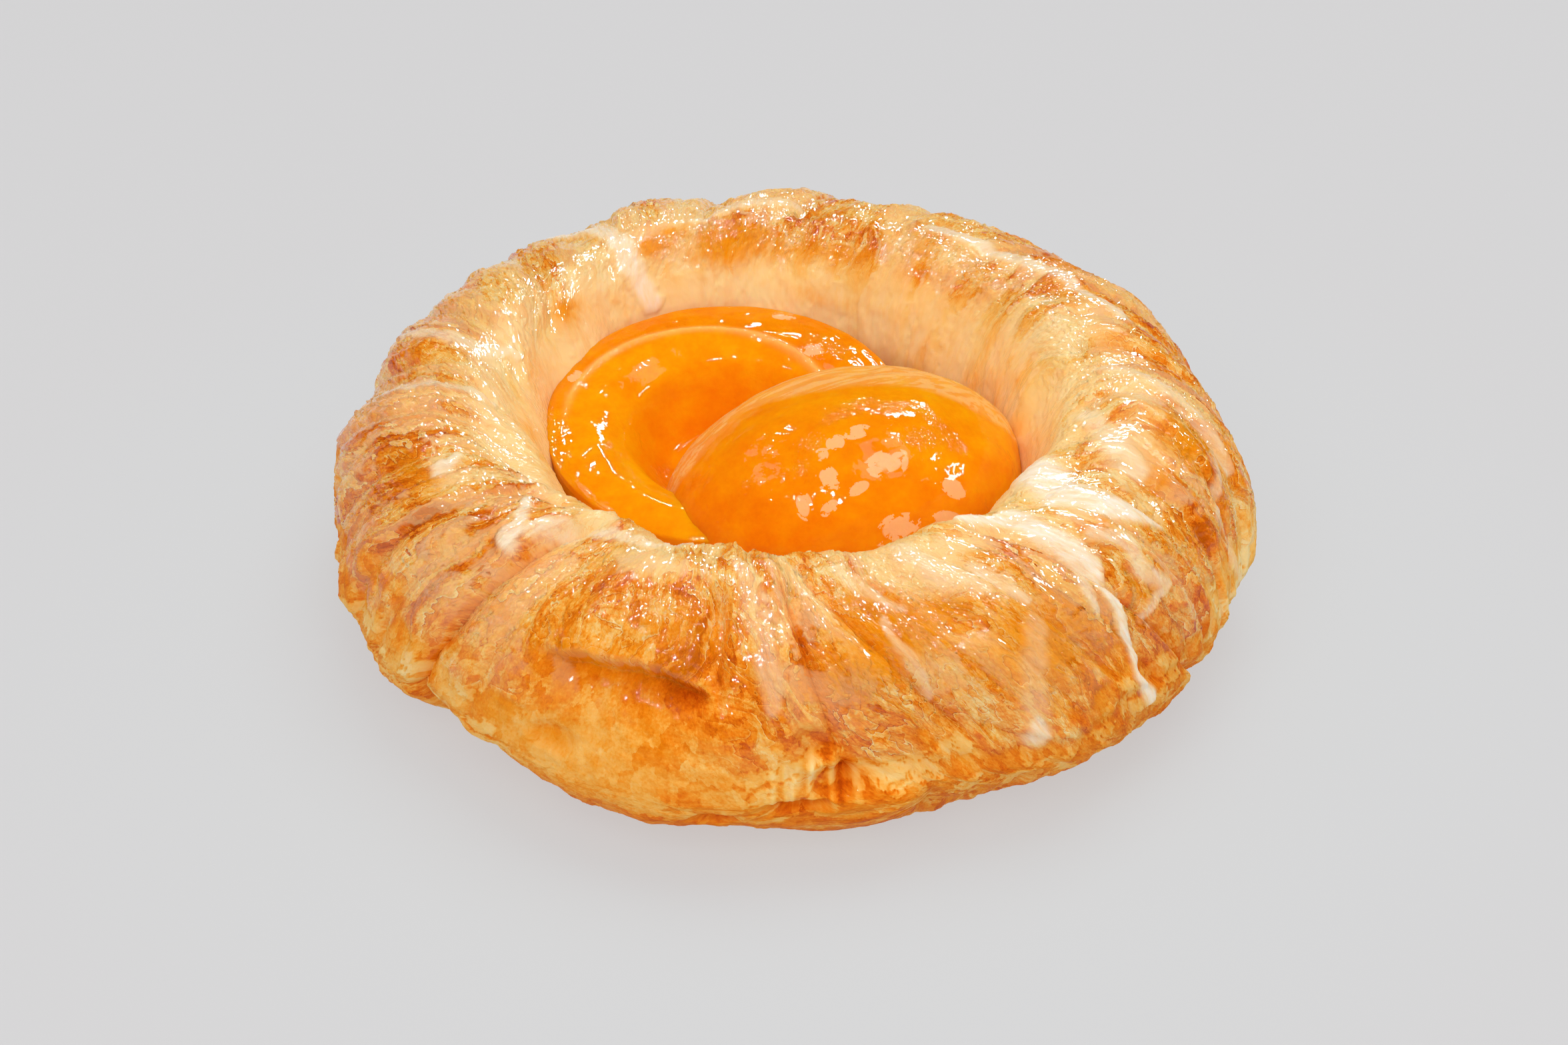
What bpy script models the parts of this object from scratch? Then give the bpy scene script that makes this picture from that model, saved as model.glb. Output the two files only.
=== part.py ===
"""A danish pastry: a ring of twisted, folded dough round a closed well that holds two apricot halves.

Metres, +Z up, with the origin under the middle of the pastry, on the surface that it rests on.
A place on the dough has two angles in degrees. The fold angle goes round +Z from +X, so 270 is
the front, and is the ring angle where the dough crosses the crest: the twist of the dough
carries it on to other ring angles lower down. The section angle goes round the ring's own
section: 0 is the outer side, 90 the top, 180 the inner side and -90 the edge of the underside.
"""

import math

import bmesh
import bpy
import numpy as np
from mathutils import Euler, Matrix

# Ring of dough
RING_RADIUS = 0.0400
OUTER_HALF_WIDTH = 0.0175
INNER_HALF_WIDTH = 0.0118
WIDEST_HEIGHT = 0.0126
CREST_RISE = 0.0206
UPPER_ROUNDNESS = 1.98
TUCKED_ROUNDNESS = 1.60
WELL_FLOOR_HEIGHT = 0.0085
FLOOR_CENTRE_DROP = 0.0015
WELL_CORNER = 0.25
UNDERSIDE_EDGE = -80.0
WELL_EDGE = 178.0
SECTION_RADIUS = 0.0165
RELIEF_FADE = 25.0

# Twist of the dough: fold angle, how far it shifts towards the outer side and towards the
# inner side, in degrees of ring angle. It leans the other way over the right of the front
TWIST = (
    (0.0, -8.0, -6.0),
    (14.0, -9.0, 3.0),
    (110.0, -9.0, 4.0),
    (150.0, -9.0, 9.0),
    (185.0, -10.0, 14.0),
    (213.0, -9.0, 16.0),
    (230.0, -9.0, 8.0),
    (258.0, 0.0, -1.0),
    (269.5, 6.0, -5.0),
    (275.0, 16.0, -10.0),
    (308.0, 13.0, -11.0),
    (350.0, -6.0, -10.0),
    (360.0, -8.0, -6.0),
)
CREST_SECTION = 80.0
OUTWARD_SPAN = 60.0
INWARD_SPAN = 40.0

# Folds: fold angle, depth, steep side (1 or -1), lowest and highest section angle
FOLDS = (
    (14.0, 0.0022, -1, -60.0, 118.0),
    (31.0, 0.0014, -1, -60.0, 110.0),
    (50.0, 0.0014, -1, -60.0, 112.0),
    (69.0, 0.0012, -1, -60.0, 102.0),
    (87.0, 0.0014, -1, -60.0, 104.0),
    (105.0, 0.0012, -1, -60.0, 112.0),
    (122.0, 0.0012, 1, -60.0, 124.0),
    (140.0, 0.0014, 1, -60.0, 136.0),
    (158.0, 0.0014, 1, -60.0, 136.0),
    (173.0, 0.0018, 1, -60.0, 125.0),
    (187.0, 0.0022, 1, -60.0, 128.0),
    (200.0, 0.0020, -1, -60.0, 128.0),
    (213.0, 0.0024, 1, -10.0, 115.0),
    (230.0, 0.0036, 1, -60.0, 108.0),
    (236.5, 0.0016, 1, -15.0, 92.0),
    (260.5, 0.0024, -1, 28.0, 86.0),
    (269.5, 0.0042, 1, -8.0, 96.0),
    (272.0, 0.0026, 1, -60.0, 50.0),
    (275.0, 0.0034, 1, 8.0, 112.0),
    (298.0, 0.0018, 1, 10.0, 104.0),
    (310.0, 0.0022, 1, -60.0, 108.0),
    (323.0, 0.0020, 1, -20.0, 112.0),
    (338.0, 0.0024, -1, -60.0, 112.0),
    (350.0, 0.0022, -1, -60.0, 118.0),
    (359.0, 0.0020, -1, -60.0, 122.0),
)
STEEP_REACH = 0.0008
GENTLE_REACH = 0.0042
FOLD_FADE = 16.0

# Pits in the torn layers: fold angle, section angle, half-width, half-height in degrees, depth
CRAGS = (
    (268.0, 20.0, 0.0014, 7.0, 0.0018),
    (268.5, 5.0, 0.0020, 6.0, 0.0022),
    (265.5, -7.0, 0.0018, 6.0, 0.0020),
    (260.0, -15.0, 0.0014, 6.0, 0.0014),
    (303.0, 11.0, 0.0018, 6.0, 0.0014),
    (246.0, 11.0, 0.0022, 5.0, 0.0011),
)

# Broad unevenness: fold angle, its half-width in degrees, push outward of the outer side, push
# outward of the inner side, lift of the crest
SWELLS = (
    (41.0, 9.0, -0.0010, 0.0000, -0.0009),
    (60.0, 7.0, 0.0004, 0.0000, 0.0002),
    (74.0, 9.0, -0.0009, 0.0000, -0.0008),
    (92.0, 16.0, 0.0000, 0.0000, 0.0006),
    (126.0, 30.0, 0.0000, 0.0030, 0.0000),
    (138.0, 10.0, 0.0004, 0.0000, 0.0005),
    (162.0, 9.0, -0.0008, 0.0000, -0.0004),
    (193.0, 9.0, 0.0011, 0.0000, 0.0000),
    (207.0, 10.0, -0.0014, 0.0000, 0.0000),
    (235.0, 8.0, -0.0008, 0.0000, 0.0000),
    (271.0, 16.0, 0.0004, 0.0000, 0.0000),
    (2.0, 14.0, 0.0002, 0.0000, 0.0000),
)
WAVE_HEIGHT = 0.0004

# Free edges of the dough strip, which lie over the dough below them: thickness, depth of the
# crease under the edge, and the edge as fold angle and section angle
FREE_EDGES = (
    (0.0014, 0.0026, ((241.0, 37.0), (246.0, 39.0), (252.0, 42.0), (256.0, 40.0), (260.5, 34.0))),
    (0.0010, 0.0018, ((274.0, 30.0), (277.0, 20.0), (281.0, 11.0), (286.0, 4.0), (297.0, 8.0), (310.0, 4.0))),
)
EDGE_SIDE_RISES = (5.0, 2.5)
EDGE_FADE_START = 32.0
EDGE_FADE_SPAN = 26.0
CREASE_ABOVE = 4.0
CREASE_BELOW = 11.0

# Thick icing: name, half-width at its start and at its end, and its way over the dough as
# fold angle and section angle
ICING_RUNS = (
    ("long_drip", 0.0028, 0.0013, ((311.0, 112.0), (317.0, 84.0), (312.0, 64.0), (307.0, 40.0), (303.0, 14.0))),
    ("broad_drip", 0.0030, 0.0018, ((324.0, 106.0), (329.0, 81.0), (329.0, 60.0), (326.0, 32.0))),
    ("front_blob", 0.0016, 0.0020, ((289.0, 36.0), (286.5, 24.0), (284.0, 12.0))),
    ("front_tongue", 0.0019, 0.0012, ((264.5, 66.0), (264.5, 51.0), (264.5, 35.0))),
    ("left_drip", 0.0018, 0.0013, ((221.5, 84.0), (226.0, 76.0), (228.5, 66.0))),
    ("left_back_band", 0.0022, 0.0018, ((115.0, 130.0), (121.0, 108.0), (124.5, 80.0), (131.5, 57.0))),
    ("back_band", 0.0020, 0.0012, ((61.0, 90.0), (49.5, 87.0), (38.0, 84.0), (26.0, 82.0))),
)
ICING_THICKNESS = 0.0009
ICING_DEPTH_BELOW = 0.0016
ICING_BULB = 1.35
ICING_BULB_PLACE = 0.86
ICING_BULB_LENGTH = 0.10
ICING_END_ROUNDNESS = 6.0

# Apricot halves: middle of the cut face, half-lengths, height above and below that face, and
# in degrees the tilts about X and Y and the turn about Z
BACK_MIDDLE = (-0.0076, 0.0062, 0.0222)
BACK_HALF_LENGTHS = (0.0229, 0.0229)
BACK_HEIGHTS = (0.0018, 0.0160)
BACK_CLEARANCE = (0.0060, 0.0160)
BACK_TILTS = (7.0, 0.0, 0.0)
FRONT_MIDDLE = (0.0070, -0.0020, 0.0170)
FRONT_HALF_LENGTHS = (0.0234, 0.0189)
FRONT_HEIGHTS = (0.0140, 0.0040)
FRONT_CLEARANCE = (0.0144, 0.0060)
FRONT_TILTS = (-3.0, -5.6, 27.0)
FRUIT_GAP = 0.0004
DOUGH_GAP = 0.0009
CLEARING_ROUNDS = 3

# Cut face of the back half: a slope in from the ridge of its rim, then the stone's hollow.
# Middle of the hollow, then each step's depth and where it starts and ends from that middle
HOLLOW_MIDDLE = (0.0012, 0.0006)
SLOPE_STEP = (0.0022, 0.0185, 0.0135)
HOLLOW_STEP = (0.0072, 0.0140, 0.0070)

# Mesh: columns round the ring and rows from the middle of the underside to the middle of the well
RING_COLUMNS = 122
RING_ROWS = 40
ROW_STOPS = (0, 1, 2, 6, 14, 19, 30, 35, 40)
SECTION_STOPS = (-90.0, -90.0, -90.0, -30.0, 30.0, 42.0, 130.0, 180.0, 180.0)
FLAT_STOPS = (0.0, 0.5, 1.0, 1.0, 1.0, 1.0, 1.0, 1.0, 0.0)
FOLD_CROWDING = 2.6
FOLD_CROWDING_WIDTH = 2.2
APRICOT_COLUMNS = 32
APRICOT_ROWS = 16
ICING_COLUMNS = 10
ICING_ROWS = 14


def signed_degrees(difference):
    """An angle difference in degrees, brought into -180 to 180."""
    return (difference + 180.0) % 360.0 - 180.0


def smooth_step(value):
    """0 below 0, 1 above 1, and a smooth rise between."""
    inside = np.clip(value, 0.0, 1.0)
    return inside * inside * (3.0 - 2.0 * inside)


def ring_angle(fold, section):
    """The ring angle that the twist gives to a fold angle at a section angle."""
    crests, outward, inward = np.array(TWIST).T
    outward_share = np.clip((CREST_SECTION - section) / OUTWARD_SPAN, 0.0, 1.5)
    inward_share = np.clip((section - CREST_SECTION) / INWARD_SPAN, 0.0, 1.2)
    shift = np.interp(fold % 360.0, crests, outward) * outward_share
    return fold + shift + np.interp(fold % 360.0, crests, inward) * inward_share


def smooth_ring(section):
    """Radius, height and outward normal of the ring without folds: quarters of four superellipses."""
    cosine, sine = np.cos(np.radians(section)), np.sin(np.radians(section))
    width = np.where(cosine >= 0.0, OUTER_HALF_WIDTH, INNER_HALF_WIDTH)
    height = np.where(sine >= 0.0, CREST_RISE, WIDEST_HEIGHT)
    power = np.where((sine < 0.0) & (cosine > 0.0), TUCKED_ROUNDNESS, UPPER_ROUNDNESS)
    reach = (np.abs(cosine) ** power + np.abs(sine) ** power) ** (-1.0 / power)
    across, up = cosine / width, sine / height
    length = np.hypot(across, up)
    radius = RING_RADIUS + width * cosine * reach
    return radius, WIDEST_HEIGHT + height * sine * reach, across / length, up / length


def fold_relief(fold, section, radius):
    """Depth of the folds: each is a groove that is steep on one side and shallow on the other."""
    relief = np.zeros_like(radius)
    for middle, depth, steep, lowest, highest in FOLDS:
        distance = steep * np.radians(signed_degrees(fold - middle)) * radius
        groove = np.where(distance < 0.0, np.exp(distance / STEEP_REACH), np.exp(-distance / GENTLE_REACH))
        fade = smooth_step((section - lowest) / FOLD_FADE) * smooth_step((highest - section) / FOLD_FADE)
        relief -= depth * groove * fade
    return relief


def edge_relief(fold, section):
    """Rise of each free edge above the dough that it covers, and the crease where they meet."""
    relief = np.zeros_like(section)
    for thickness, crease_depth, edge in FREE_EDGES:
        angles, sections = np.array(edge).T
        first_side = smooth_step((fold - angles[0]) / EDGE_SIDE_RISES[0])
        last_side = smooth_step((angles[-1] - fold) / EDGE_SIDE_RISES[1])
        above_edge = section - np.interp(fold, angles, sections)
        over_edge = smooth_step(above_edge / CREASE_ABOVE)
        rise = over_edge * (1.0 - smooth_step((above_edge - EDGE_FADE_START) / EDGE_FADE_SPAN))
        crease = np.where(above_edge > 0.0, 1.0 - over_edge, np.exp(above_edge / CREASE_BELOW))
        relief += first_side * last_side * (thickness * rise - crease_depth * crease)
    return relief


def crag_relief(fold, section, radius):
    """Small pits where the layers of the dough have torn open: a rounded dent each."""
    relief = np.zeros_like(radius)
    for middle, height, half_width, half_height, depth in CRAGS:
        across = np.radians(signed_degrees(fold - middle)) * radius / half_width
        relief -= depth * np.exp(-((across**2 + ((section - height) / half_height) ** 2) ** 2))
    return relief


def swells(fold, section):
    """Broad pushes outward and lifts of the crest, and a slow wave that keeps the dough uneven."""
    turn, lean = np.radians(fold), np.radians(section)
    outer_share = np.maximum(np.cos(lean), 0.0)
    inner_share = np.maximum(-np.cos(lean), 0.0)
    outward, lift = np.zeros_like(section), np.zeros_like(section)
    for middle, half_width, outer_push, inner_push, rise in SWELLS:
        share = np.exp(-((signed_degrees(fold - middle) / half_width) ** 2))
        outward += share * (outer_push * outer_share + inner_push * inner_share)
        lift += rise * share
    wave = np.sin(9.0 * turn + 2.0 * lean) + np.sin(14.0 * turn - 3.0 * lean + 1.3)
    return outward, lift, WAVE_HEIGHT * wave


def tilted(points, tilts, inverse=False):
    """Points turned about Z, then tilted about X and Y, or all of that undone."""
    about_x, about_y, about_z = np.radians(tilts)
    turn = np.array(Euler((about_x, about_y, 0.0)).to_matrix() @ Euler((0.0, 0.0, about_z)).to_matrix())
    return points @ (turn if inverse else turn.T)


def pushed_clear(points, middle, half_lengths, tilts, heights):
    """Points inside an apricot, grown by the gap, moved straight out from its middle on to its surface."""
    offset = tilted(points - np.array(middle), tilts, inverse=True)
    height = np.where(offset[:, 2] >= 0.0, heights[0], heights[1]) + DOUGH_GAP
    wide, deep = half_lengths[0] + DOUGH_GAP, half_lengths[1] + DOUGH_GAP
    across = np.hypot(offset[:, 0] / wide, offset[:, 1] / deep)
    share = np.hypot(across, offset[:, 2] / height)
    offset *= np.where(share < 1.0, 1.0 / np.maximum(share, 0.05), 1.0)[:, None]
    return tilted(offset, tilts) + np.array(middle)


def dough_surface(fold, section, flat=None):
    """Points of the dough. flat is 1 on the ring, and 0 in the middle of the underside and of the well."""
    flat = np.ones_like(section) if flat is None else flat
    radius, height, out, up = smooth_ring(section)
    outward, lift, wave = swells(fold, section)
    relief = fold_relief(fold, section, radius) + edge_relief(fold, section) + wave
    relief += crag_relief(fold, section, radius)
    from_underside = smooth_step((section - UNDERSIDE_EDGE) / RELIEF_FADE)
    from_well = smooth_step((WELL_EDGE - section) / RELIEF_FADE)
    on_ring = from_underside * from_well
    upper = smooth_step(np.sin(np.radians(section)))
    radius = radius + on_ring * (relief * out + outward)
    height = height + on_ring * (relief * up + lift * upper)
    in_well = section > CREST_SECTION
    floor = WELL_FLOOR_HEIGHT - FLOOR_CENTRE_DROP * (1.0 - flat)
    blend = smooth_step((1.0 - flat) / WELL_CORNER)
    height = np.where(in_well, height + (floor - height) * blend, height)
    radius = radius * flat
    turn = np.radians(ring_angle(fold, section))
    points = np.stack((radius * np.cos(turn), radius * np.sin(turn), height), axis=-1)
    cleared = points[in_well]
    for _ in range(CLEARING_ROUNDS):
        cleared = pushed_clear(cleared, BACK_MIDDLE, BACK_HALF_LENGTHS, BACK_TILTS, BACK_CLEARANCE)
        cleared = pushed_clear(cleared, FRONT_MIDDLE, FRONT_HALF_LENGTHS, FRONT_TILTS, FRONT_CLEARANCE)
    points[in_well] = cleared
    return points


def ring_shape(around, along):
    """The whole dough, from the middle of its underside to the middle of the well.

    The columns follow the twist and crowd at the folds.
    """
    even = np.linspace(0.0, 360.0, 1441)
    crowding = np.ones_like(even)
    for fold in FOLDS:
        crowding += FOLD_CROWDING * np.exp(-((signed_degrees(even - fold[0]) / FOLD_CROWDING_WIDTH) ** 2))
    steps = np.concatenate(((0.0,), np.cumsum(0.5 * (crowding[1:] + crowding[:-1]))))
    fold = np.interp(around / (2.0 * math.pi), steps / steps[-1], even)
    row = along * RING_ROWS
    section = np.interp(row, ROW_STOPS, SECTION_STOPS)
    flat = np.interp(row, ROW_STOPS, FLAT_STOPS)
    return dough_surface(fold, section, flat)


def apricot_shape(middle, half_lengths, heights, tilts, hollow_steps=(), grown=0.0):
    """A function that turns a unit sphere into half an apricot.

    It has a dome on one side of the cut face, a rounded rim, and any steps down into the stone's hollow.
    """

    def shape(around, along):
        polar = math.pi * along
        across, level = np.sin(polar), -np.cos(polar)
        flatness = 0.5 if heights[0] < heights[1] else 1.0
        top = (heights[0] + grown) * np.clip(level, 0.0, 1.0) ** flatness
        x = (half_lengths[0] + grown) * across * np.cos(around)
        y = (half_lengths[1] + grown) * across * np.sin(around)
        z = np.where(level >= 0.0, top, (heights[1] + grown) * level)
        if hollow_steps:
            from_stone = np.hypot(x - HOLLOW_MIDDLE[0], y - HOLLOW_MIDDLE[1])
            for depth, start, end in hollow_steps:
                z = z - np.where(level >= 0.0, depth * smooth_step((start - from_stone) / (start - end)), 0.0)
        return tilted(np.stack((x, y, z), axis=-1), tilts) + np.array(middle)

    return shape


def icing_shape(start_width, end_width, way):
    """A function that turns a unit sphere into a low run of icing on the dough, with a fuller end.

    Its width is laid out over the dough, square to its way, and its height goes along the ring's normal.
    """
    stops = np.linspace(0.0, 1.0, len(way))
    folds, sections = np.array(way).T

    def place(share):
        return np.interp(share, stops, folds), np.interp(share, stops, sections)

    def shape(around, along):
        fold, section = place(along)
        ring_reach = np.radians(1.0) * smooth_ring(section)[0]
        section_reach = np.radians(1.0) * SECTION_RADIUS
        (fold_before, section_before), (fold_after, section_after) = place(along - 0.08), place(along + 0.08)
        run = (fold_after - fold_before) * ring_reach
        climb = (section_after - section_before) * section_reach
        bulb = 1.0 + (ICING_BULB - 1.0) * np.exp(-(((along - ICING_BULB_PLACE) / ICING_BULB_LENGTH) ** 2))
        rounded = np.sqrt(np.clip(1.0 - np.abs(2.0 * along - 1.0) ** ICING_END_ROUNDNESS, 0.0, 1.0))
        width = (start_width + (end_width - start_width) * along) * bulb * rounded
        sideways = width * np.cos(around) / np.hypot(run, climb)
        fold = fold + sideways * climb / ring_reach
        section = section - sideways * run / section_reach
        turn = np.radians(ring_angle(fold, section))
        out, up = smooth_ring(section)[2:]
        normal = np.stack((out * np.cos(turn), out * np.sin(turn), up), axis=-1)
        thick = np.where(np.sin(around) > 0.0, ICING_THICKNESS, ICING_DEPTH_BELOW) * rounded
        return dough_surface(fold, section) + normal * (thick * np.sin(around))[:, None]

    return shape


def mapped_sphere(name, columns, rows, shape, collection):
    """A closed object made from a UV sphere.

    shape takes each vertex's longitude and its share of the way from the lower to the upper pole.
    """
    sphere = bmesh.new()
    bmesh.ops.create_uvsphere(sphere, u_segments=columns, v_segments=rows, radius=1.0)
    mesh = bpy.data.meshes.new(name)
    sphere.to_mesh(mesh)
    sphere.free()
    unit = np.empty(3 * len(mesh.vertices))
    mesh.vertices.foreach_get("co", unit)
    x, y, z = unit.reshape(-1, 3).T
    around = np.arctan2(y, x) % (2.0 * math.pi)
    along = np.arccos(np.clip(-z, -1.0, 1.0)) / math.pi
    mesh.vertices.foreach_set("co", shape(around, along).ravel())
    mesh.shade_smooth()
    mesh.update()
    made = bpy.data.objects.new(name, mesh)
    collection.objects.link(made)
    return made


def finish(name, colour, roughness):
    """A Principled BSDF material with one colour, given as linear red, green and blue."""
    material = bpy.data.materials.new(name)
    material.use_nodes = True
    shader = material.node_tree.nodes["Principled BSDF"]
    shader.inputs["Base Color"].default_value = (*colour, 1.0)
    shader.inputs["Roughness"].default_value = roughness
    shader.inputs["Metallic"].default_value = 0.0
    return material


def new_collection(name):
    """A collection linked to the scene."""
    made = bpy.data.collections.new(name)
    bpy.context.scene.collection.children.link(made)
    return made


def as_cutter(helper):
    """Marks an object as a helper that shapes another one and isn't a part of the pastry."""
    helper.hide_render = True
    helper.display_type = "WIRE"


def apply_boolean(target, operation, operand_type, operand):
    """Cuts or joins with a Boolean and keeps the result as the target's mesh."""
    boolean = target.modifiers.new(operation.lower(), "BOOLEAN")
    boolean.operation = operation
    boolean.solver = "EXACT"
    boolean.operand_type = operand_type
    if operand_type == "COLLECTION":
        boolean.collection = operand
    else:
        boolean.object = operand
    graph = bpy.context.evaluated_depsgraph_get()
    joined = bpy.data.meshes.new_from_object(target.evaluated_get(graph))
    target.modifiers.remove(boolean)
    target.data = joined
    joined.shade_smooth()


def build_pastry(parts):
    """The dough with its thick icing fused on."""
    dough = mapped_sphere("pastry", RING_COLUMNS, RING_ROWS, ring_shape, parts)
    icing = new_collection("icing_runs")
    for name, start_width, end_width, way in ICING_RUNS:
        run = mapped_sphere(name, ICING_COLUMNS, ICING_ROWS, icing_shape(start_width, end_width, way), icing)
        as_cutter(run)
    apply_boolean(dough, "UNION", "COLLECTION", icing)
    for run in list(icing.objects):
        bpy.data.objects.remove(run)
    bpy.data.collections.remove(icing)
    dough.data.materials.clear()
    dough.data.materials.append(finish("baked_dough", (0.78, 0.36, 0.085), 0.35))
    return dough


def build_apricots(parts, helpers):
    """The two apricot halves. The front one presses into the back one, which is cut clear of it."""
    front = (FRONT_MIDDLE, FRONT_HALF_LENGTHS, FRONT_HEIGHTS, FRONT_TILTS)
    back = (BACK_MIDDLE, BACK_HALF_LENGTHS, BACK_HEIGHTS, BACK_TILTS)
    flesh = finish("apricot_flesh", (0.93, 0.27, 0.006), 0.2)
    upper = mapped_sphere("apricot_front", APRICOT_COLUMNS, APRICOT_ROWS, apricot_shape(*front), parts)
    hollowed = apricot_shape(*back, (SLOPE_STEP, HOLLOW_STEP))
    lower = mapped_sphere("apricot_back", APRICOT_COLUMNS, APRICOT_ROWS, hollowed, parts)
    clearance = mapped_sphere(
        "front_clearance", APRICOT_COLUMNS, APRICOT_ROWS, apricot_shape(*front, grown=FRUIT_GAP), helpers
    )
    as_cutter(clearance)
    apply_boolean(lower, "DIFFERENCE", "OBJECT", clearance)
    for half in (upper, lower):
        half.data.materials.clear()
        half.data.materials.append(flesh)


def stand_on_middle(parts):
    """Moves every part so that the origin lies under the middle of the pastry's outline."""
    corners = np.array(parts.objects["pastry"].bound_box)
    middle = 0.5 * (corners.min(axis=0) + corners.max(axis=0))
    to_origin = Matrix.Translation((-middle[0], -middle[1], -corners[:, 2].min()))
    for part in parts.objects:
        part.data.transform(to_origin)


def main():
    for existing in list(bpy.data.objects):
        bpy.data.objects.remove(existing)
    parts = new_collection("danish_pastry")
    helpers = new_collection("cutters")
    build_pastry(parts)
    build_apricots(parts, helpers)
    stand_on_middle(parts)


main()
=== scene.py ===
"""A danish pastry with apricot halves: the dressed dough, its icing and its fruit, on a pale floor.

Metres, +Z up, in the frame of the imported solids. A place on the dough has a fold angle, which
goes round the ring at the crest, and a section angle, which is 0 on the outer side of the ring's
section, 90 on top and 180 on the inner side. The twist turns a fold angle into a ring angle.
"""

import math

import bpy
import numpy as np
from mathutils import Euler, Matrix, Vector


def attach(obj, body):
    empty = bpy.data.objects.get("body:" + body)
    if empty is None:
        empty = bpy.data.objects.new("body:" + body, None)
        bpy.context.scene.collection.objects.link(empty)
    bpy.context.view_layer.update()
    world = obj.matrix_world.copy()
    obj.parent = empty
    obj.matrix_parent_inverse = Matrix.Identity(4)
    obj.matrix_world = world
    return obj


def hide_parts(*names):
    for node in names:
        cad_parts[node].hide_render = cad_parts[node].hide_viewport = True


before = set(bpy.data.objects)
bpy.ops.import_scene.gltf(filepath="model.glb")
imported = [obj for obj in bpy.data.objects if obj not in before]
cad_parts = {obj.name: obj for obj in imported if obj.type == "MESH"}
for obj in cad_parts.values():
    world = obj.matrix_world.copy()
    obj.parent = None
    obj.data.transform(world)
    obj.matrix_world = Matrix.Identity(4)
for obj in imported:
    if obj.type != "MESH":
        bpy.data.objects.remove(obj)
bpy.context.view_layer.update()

MM = 0.001
# Size on the surface of a degree round the section, and of a radian round the ring
MM_PER_SECTION_DEGREE = 0.29
MM_PER_RADIAN = 48.0

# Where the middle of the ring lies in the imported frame
RING_MIDDLE = np.array((-0.00034, 0.00017, 0.0))

# Ring of dough, as in the solids
RING_RADIUS = 0.0400
OUTER_HALF_WIDTH = 0.0175
INNER_HALF_WIDTH = 0.0118
WIDEST_HEIGHT = 0.0126
CREST_RISE = 0.0206
UPPER_ROUNDNESS = 1.98
TUCKED_ROUNDNESS = 1.60
WELL_FLOOR_HEIGHT = 0.0085
FLOOR_CENTRE_DROP = 0.0015
WELL_CORNER = 0.25
# Section angles between which the surface is uneven, and the span over which that fades
UNDERSIDE_EDGE = -80.0
WELL_EDGE = 178.0
RELIEF_FADE = 25.0

# Twist: fold angle, shift towards the outer side, shift towards the inner side
TWIST = (
    (0, -8, -6), (14, -9, 3), (110, -9, 4), (150, -9, 9), (185, -10, 14), (213, -9, 16), (230, -9, 8),
    (258, 0, -1), (269.5, 6, -5), (275, 16, -10), (308, 13, -11), (350, -6, -10), (360, -8, -6),
)
# The twist that the fine layers follow: ring angle, then shifts as above
FLOW = (
    (0, -8, -6), (14, -9, 3), (110, -9, 4), (150, -9, 9), (190, -9, 13), (222, -8, 9), (250, 0, 0),
    (285, 13, -8), (312, 12, -10), (350, -6, -9), (360, -8, -6),
)
# Section angle of no shift, the spans over which the shifts grow to the full, and their largest shares
CREST_SECTION = 80.0
OUTWARD_SPAN = 60.0
INWARD_SPAN = 40.0
MOST_SHIFTS = (1.5, 1.2)

# Folds: fold angle, depth, steep side, lowest and highest section angle
FOLDS = (
    (14, 0.0016, -1, -60, 118), (31, 0.0012, -1, -60, 110), (50, 0.0014, -1, -60, 112),
    (69, 0.0012, -1, -60, 102), (87, 0.0014, -1, -60, 104), (105, 0.0012, -1, -60, 112),
    (122, 0.001, 1, -60, 124), (140, 0.0009, 1, -60, 136), (158, 0.001, 1, -60, 136),
    (173, 0.0012, 1, -60, 125), (187, 0.0013, 1, -60, 128), (200, 0.0014, -1, -60, 128),
    (213, 0.0018, 1, -10, 115), (230, 0.0032, 1, -60, 108), (236.5, 0.0014, 1, -15, 92),
    (260.5, 0.0024, -1, 28, 86), (269.5, 0.003, 1, -8, 96), (272, 0.002, 1, -60, 50),
    (275, 0.0026, 1, 8, 112), (298, 0.0018, 1, 10, 104), (310, 0.0022, 1, -60, 108),
    (323, 0.002, 1, -20, 112), (338, 0.0016, -1, -60, 112), (350, 0.0014, -1, -60, 118),
    (359, 0.0013, -1, -60, 122), (263.5, 0.0009, 1, -20, 90), (266.5, 0.0008, -1, -30, 84),
    (279, 0.0009, 1, -10, 96), (284, 0.0008, 1, 0, 104), (290, 0.0009, -1, 6, 100),
    (304, 0.0008, 1, 0, 108), (316, 0.0009, -1, -10, 110), (330, 0.0008, 1, -30, 112),
    (193, 0.0008, 1, -40, 120), (206, 0.0009, -1, -30, 118), (180, 0.0008, -1, -40, 126),
    (221, 0.0009, 1, -20, 108), (7, 0.0008, 1, -50, 116), (22, 0.0007, -1, -50, 112),
)
# How far a fold falls off on its steep and gentle sides, and the degrees over which its ends fade
STEEP_REACH = 0.0008
GENTLE_REACH = 0.0042
FOLD_FADE = 16.0
# Painted shade along a fold's crease: its reach, and the depth at which it is full
CREASE_SHADE_REACH = 0.0007
FULL_CREASE_SHADE = 0.0030

# Pits in the torn layers: fold angle, section angle, half-width, half-height in degrees, depth
CRAGS = (
    (268, 20, 0.0014, 7, 0.0018), (268.5, 5, 0.002, 6, 0.0022), (265.5, -7, 0.0018, 6, 0.002),
    (260, -15, 0.0014, 6, 0.0014), (303, 11, 0.0018, 6, 0.0014), (246, 11, 0.0022, 5, 0.0011),
)

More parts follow.
